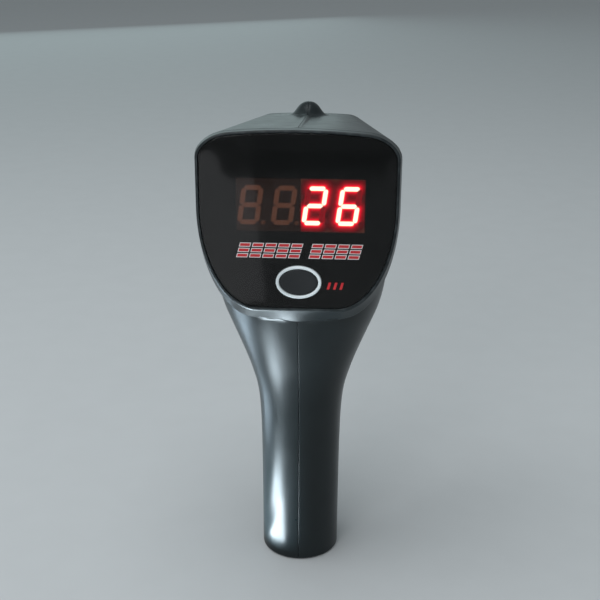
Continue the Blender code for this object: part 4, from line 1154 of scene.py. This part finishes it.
def build_base(look):
    """Base plate with rounded edge, set in the shells."""
    jack = centre_of("charging_jack")
    profile = [(0.0, 17.9), (0.05, 18.4), (0.2, 18.75), (0.5, 18.9), (1.2, 18.9), (1.2, 20.3), (2.4, 20.3),
               (2.4, 18.9), (4.0, 18.9)]
    plate = add_piece("base_plate", turned_mesh((0.0, 0.0, 0.0), "Z", profile, 96), look,
                      stands_for=("base_plate",))
    boolean(plate, turned_mesh((jack.x, jack.y, -1.0), "Z", ((0.0, 4.3), (6.0, 4.3)), 48), "DIFFERENCE")
    smooth(plate.data)


def dress_cad_nodes(frame, looks):
    """Give each CAD node that stays visible the finished material of its slot."""
    for part in frame["record"]["subparts"]:
        node = frame["nodes"][part["node"]]
        look = looks[part["material_slot"]]
        if not node.material_slots:
            node.data.materials.append(look)
        for slot in node.material_slots:
            slot.material = look


# ---- studio, in metres

FLOOR_LIGHT_Z = 0.004

def aim(thing, place, target):
    """Put a light at a place, in metres, pointing at a target."""
    thing.location = place
    direction = Vector(target) - Vector(place)
    thing.rotation_euler = direction.to_track_quat("-Z", "Y").to_euler()


def area_light(name, place, target, size, energy, colour):
    """Rectangular soft light that the camera doesn't see."""
    data = bpy.data.lights.new(name, "AREA")
    data.shape = "RECTANGLE"
    data.size, data.size_y = size
    data.energy = energy
    data.color = colour
    light = linked(name, data)
    aim(light, place, target)
    light.visible_camera = False
    return light


def floor_light(name, spot, size, turn, watts, colour):
    """Soft light lying on the floor and facing up, turned about the vertical."""
    place = (*spot, FLOOR_LIGHT_Z)
    light = area_light(name, place, (*spot, 1.0), size, watts, colour)
    light.rotation_euler = (math.pi, 0.0, math.radians(turn))


def build_studio():
    """Pale floor, soft lights and a dim world."""
    builder = bmesh.new()
    bmesh.ops.create_grid(builder, x_segments=8, y_segments=8, size=4.0)
    mesh = bpy.data.meshes.new("floor")
    builder.to_mesh(mesh)
    builder.free()
    floor = linked("floor", mesh)
    mesh.materials.append(Look("floor_paper", (0.60, 0.61, 0.62), 0.85, specular=0.1, variation=0.01)
                          .grain(900.0, 0.00002, 0.2).finish(0.02))
    world = bpy.data.worlds.new("studio")
    bpy.context.scene.world = world
    world.use_nodes = True
    background = world.node_tree.nodes["Background"]
    background.inputs["Color"].default_value = (0.50, 0.56, 0.58, 1.0)
    background.inputs["Strength"].default_value = 0.48
    area_light("ceiling_light", (-0.35, -0.10, 1.6), (0.0, 0.0, 0.1), (1.1, 1.7), 14.0, (0.93, 0.98, 1.0))
    area_light("back_light", (-1.1, 2.1, 0.75), (0.0, 0.0, 0.2), (2.6, 1.4), 5.2, (0.76, 0.99, 1.0))
    area_light("front_light", (-0.45, -1.5, 1.0), (0.0, 0.0, 0.2), (0.9, 0.6), 8.0, (0.96, 0.98, 1.0))
    floor_light("near_left_light", (-0.041, -0.033), (0.024, 0.046), -52.0, 0.145, (0.76, 0.91, 1.0))
    floor_light("far_left_light", (-0.077, -0.039), (0.045, 0.052), -63.0, 0.29, (0.76, 0.91, 1.0))
    floor_light("side_left_light", (-0.215, 0.035), (0.10, 0.13), -100.0, 0.32, (0.66, 0.85, 1.0))
    floor_light("left_card_light", (-0.293, -0.93), (0.36, 1.28), -6.4, 1.05, (0.95, 0.97, 1.0))


def build_camera():
    """Camera behind and above the gun, where its user looks from."""
    yaw = math.radians(CAMERA_YAW)
    data = bpy.data.cameras.new("camera")
    data.lens = CAMERA_LENS
    data.sensor_width = CAMERA_SENSOR
    data.clip_start = 0.01
    camera = linked("camera", data)
    camera.location = (CAMERA_DISTANCE * math.sin(yaw), -CAMERA_DISTANCE * math.cos(yaw), CAMERA_HEIGHT)
    aim_yaw = yaw + math.radians(CAMERA_AIM)
    turn = Matrix.Rotation(aim_yaw, 3, "Z")
    tilt = Matrix.Rotation(math.radians(90.0 - CAMERA_PITCH), 3, "X")
    roll = Matrix.Rotation(math.radians(CAMERA_ROLL), 3, "Z")
    camera.rotation_euler = (turn @ tilt @ roll).to_euler()
    bpy.context.scene.camera = camera


def clear_scene():
    for thing in list(bpy.data.objects):
        bpy.data.objects.remove(thing)


def main():
    clear_scene()
    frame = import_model()
    bpy.context.scene.view_settings.view_transform = "Standard"
    looks = make_looks()
    housing = looks["housing_plastic"]
    build_camera()
    build_studio()
    dress_cad_nodes(frame, looks)
    build_shell("left_shell", -1.0, housing)
    build_shell("right_shell", 1.0, housing)
    build_bezel(housing)
    build_window(looks["smoked_window"])
    build_key(looks)
    build_digits(looks["led_face"])
    build_prints(looks)
    build_front(looks)
    build_trigger(housing)
    build_base(housing)


main()
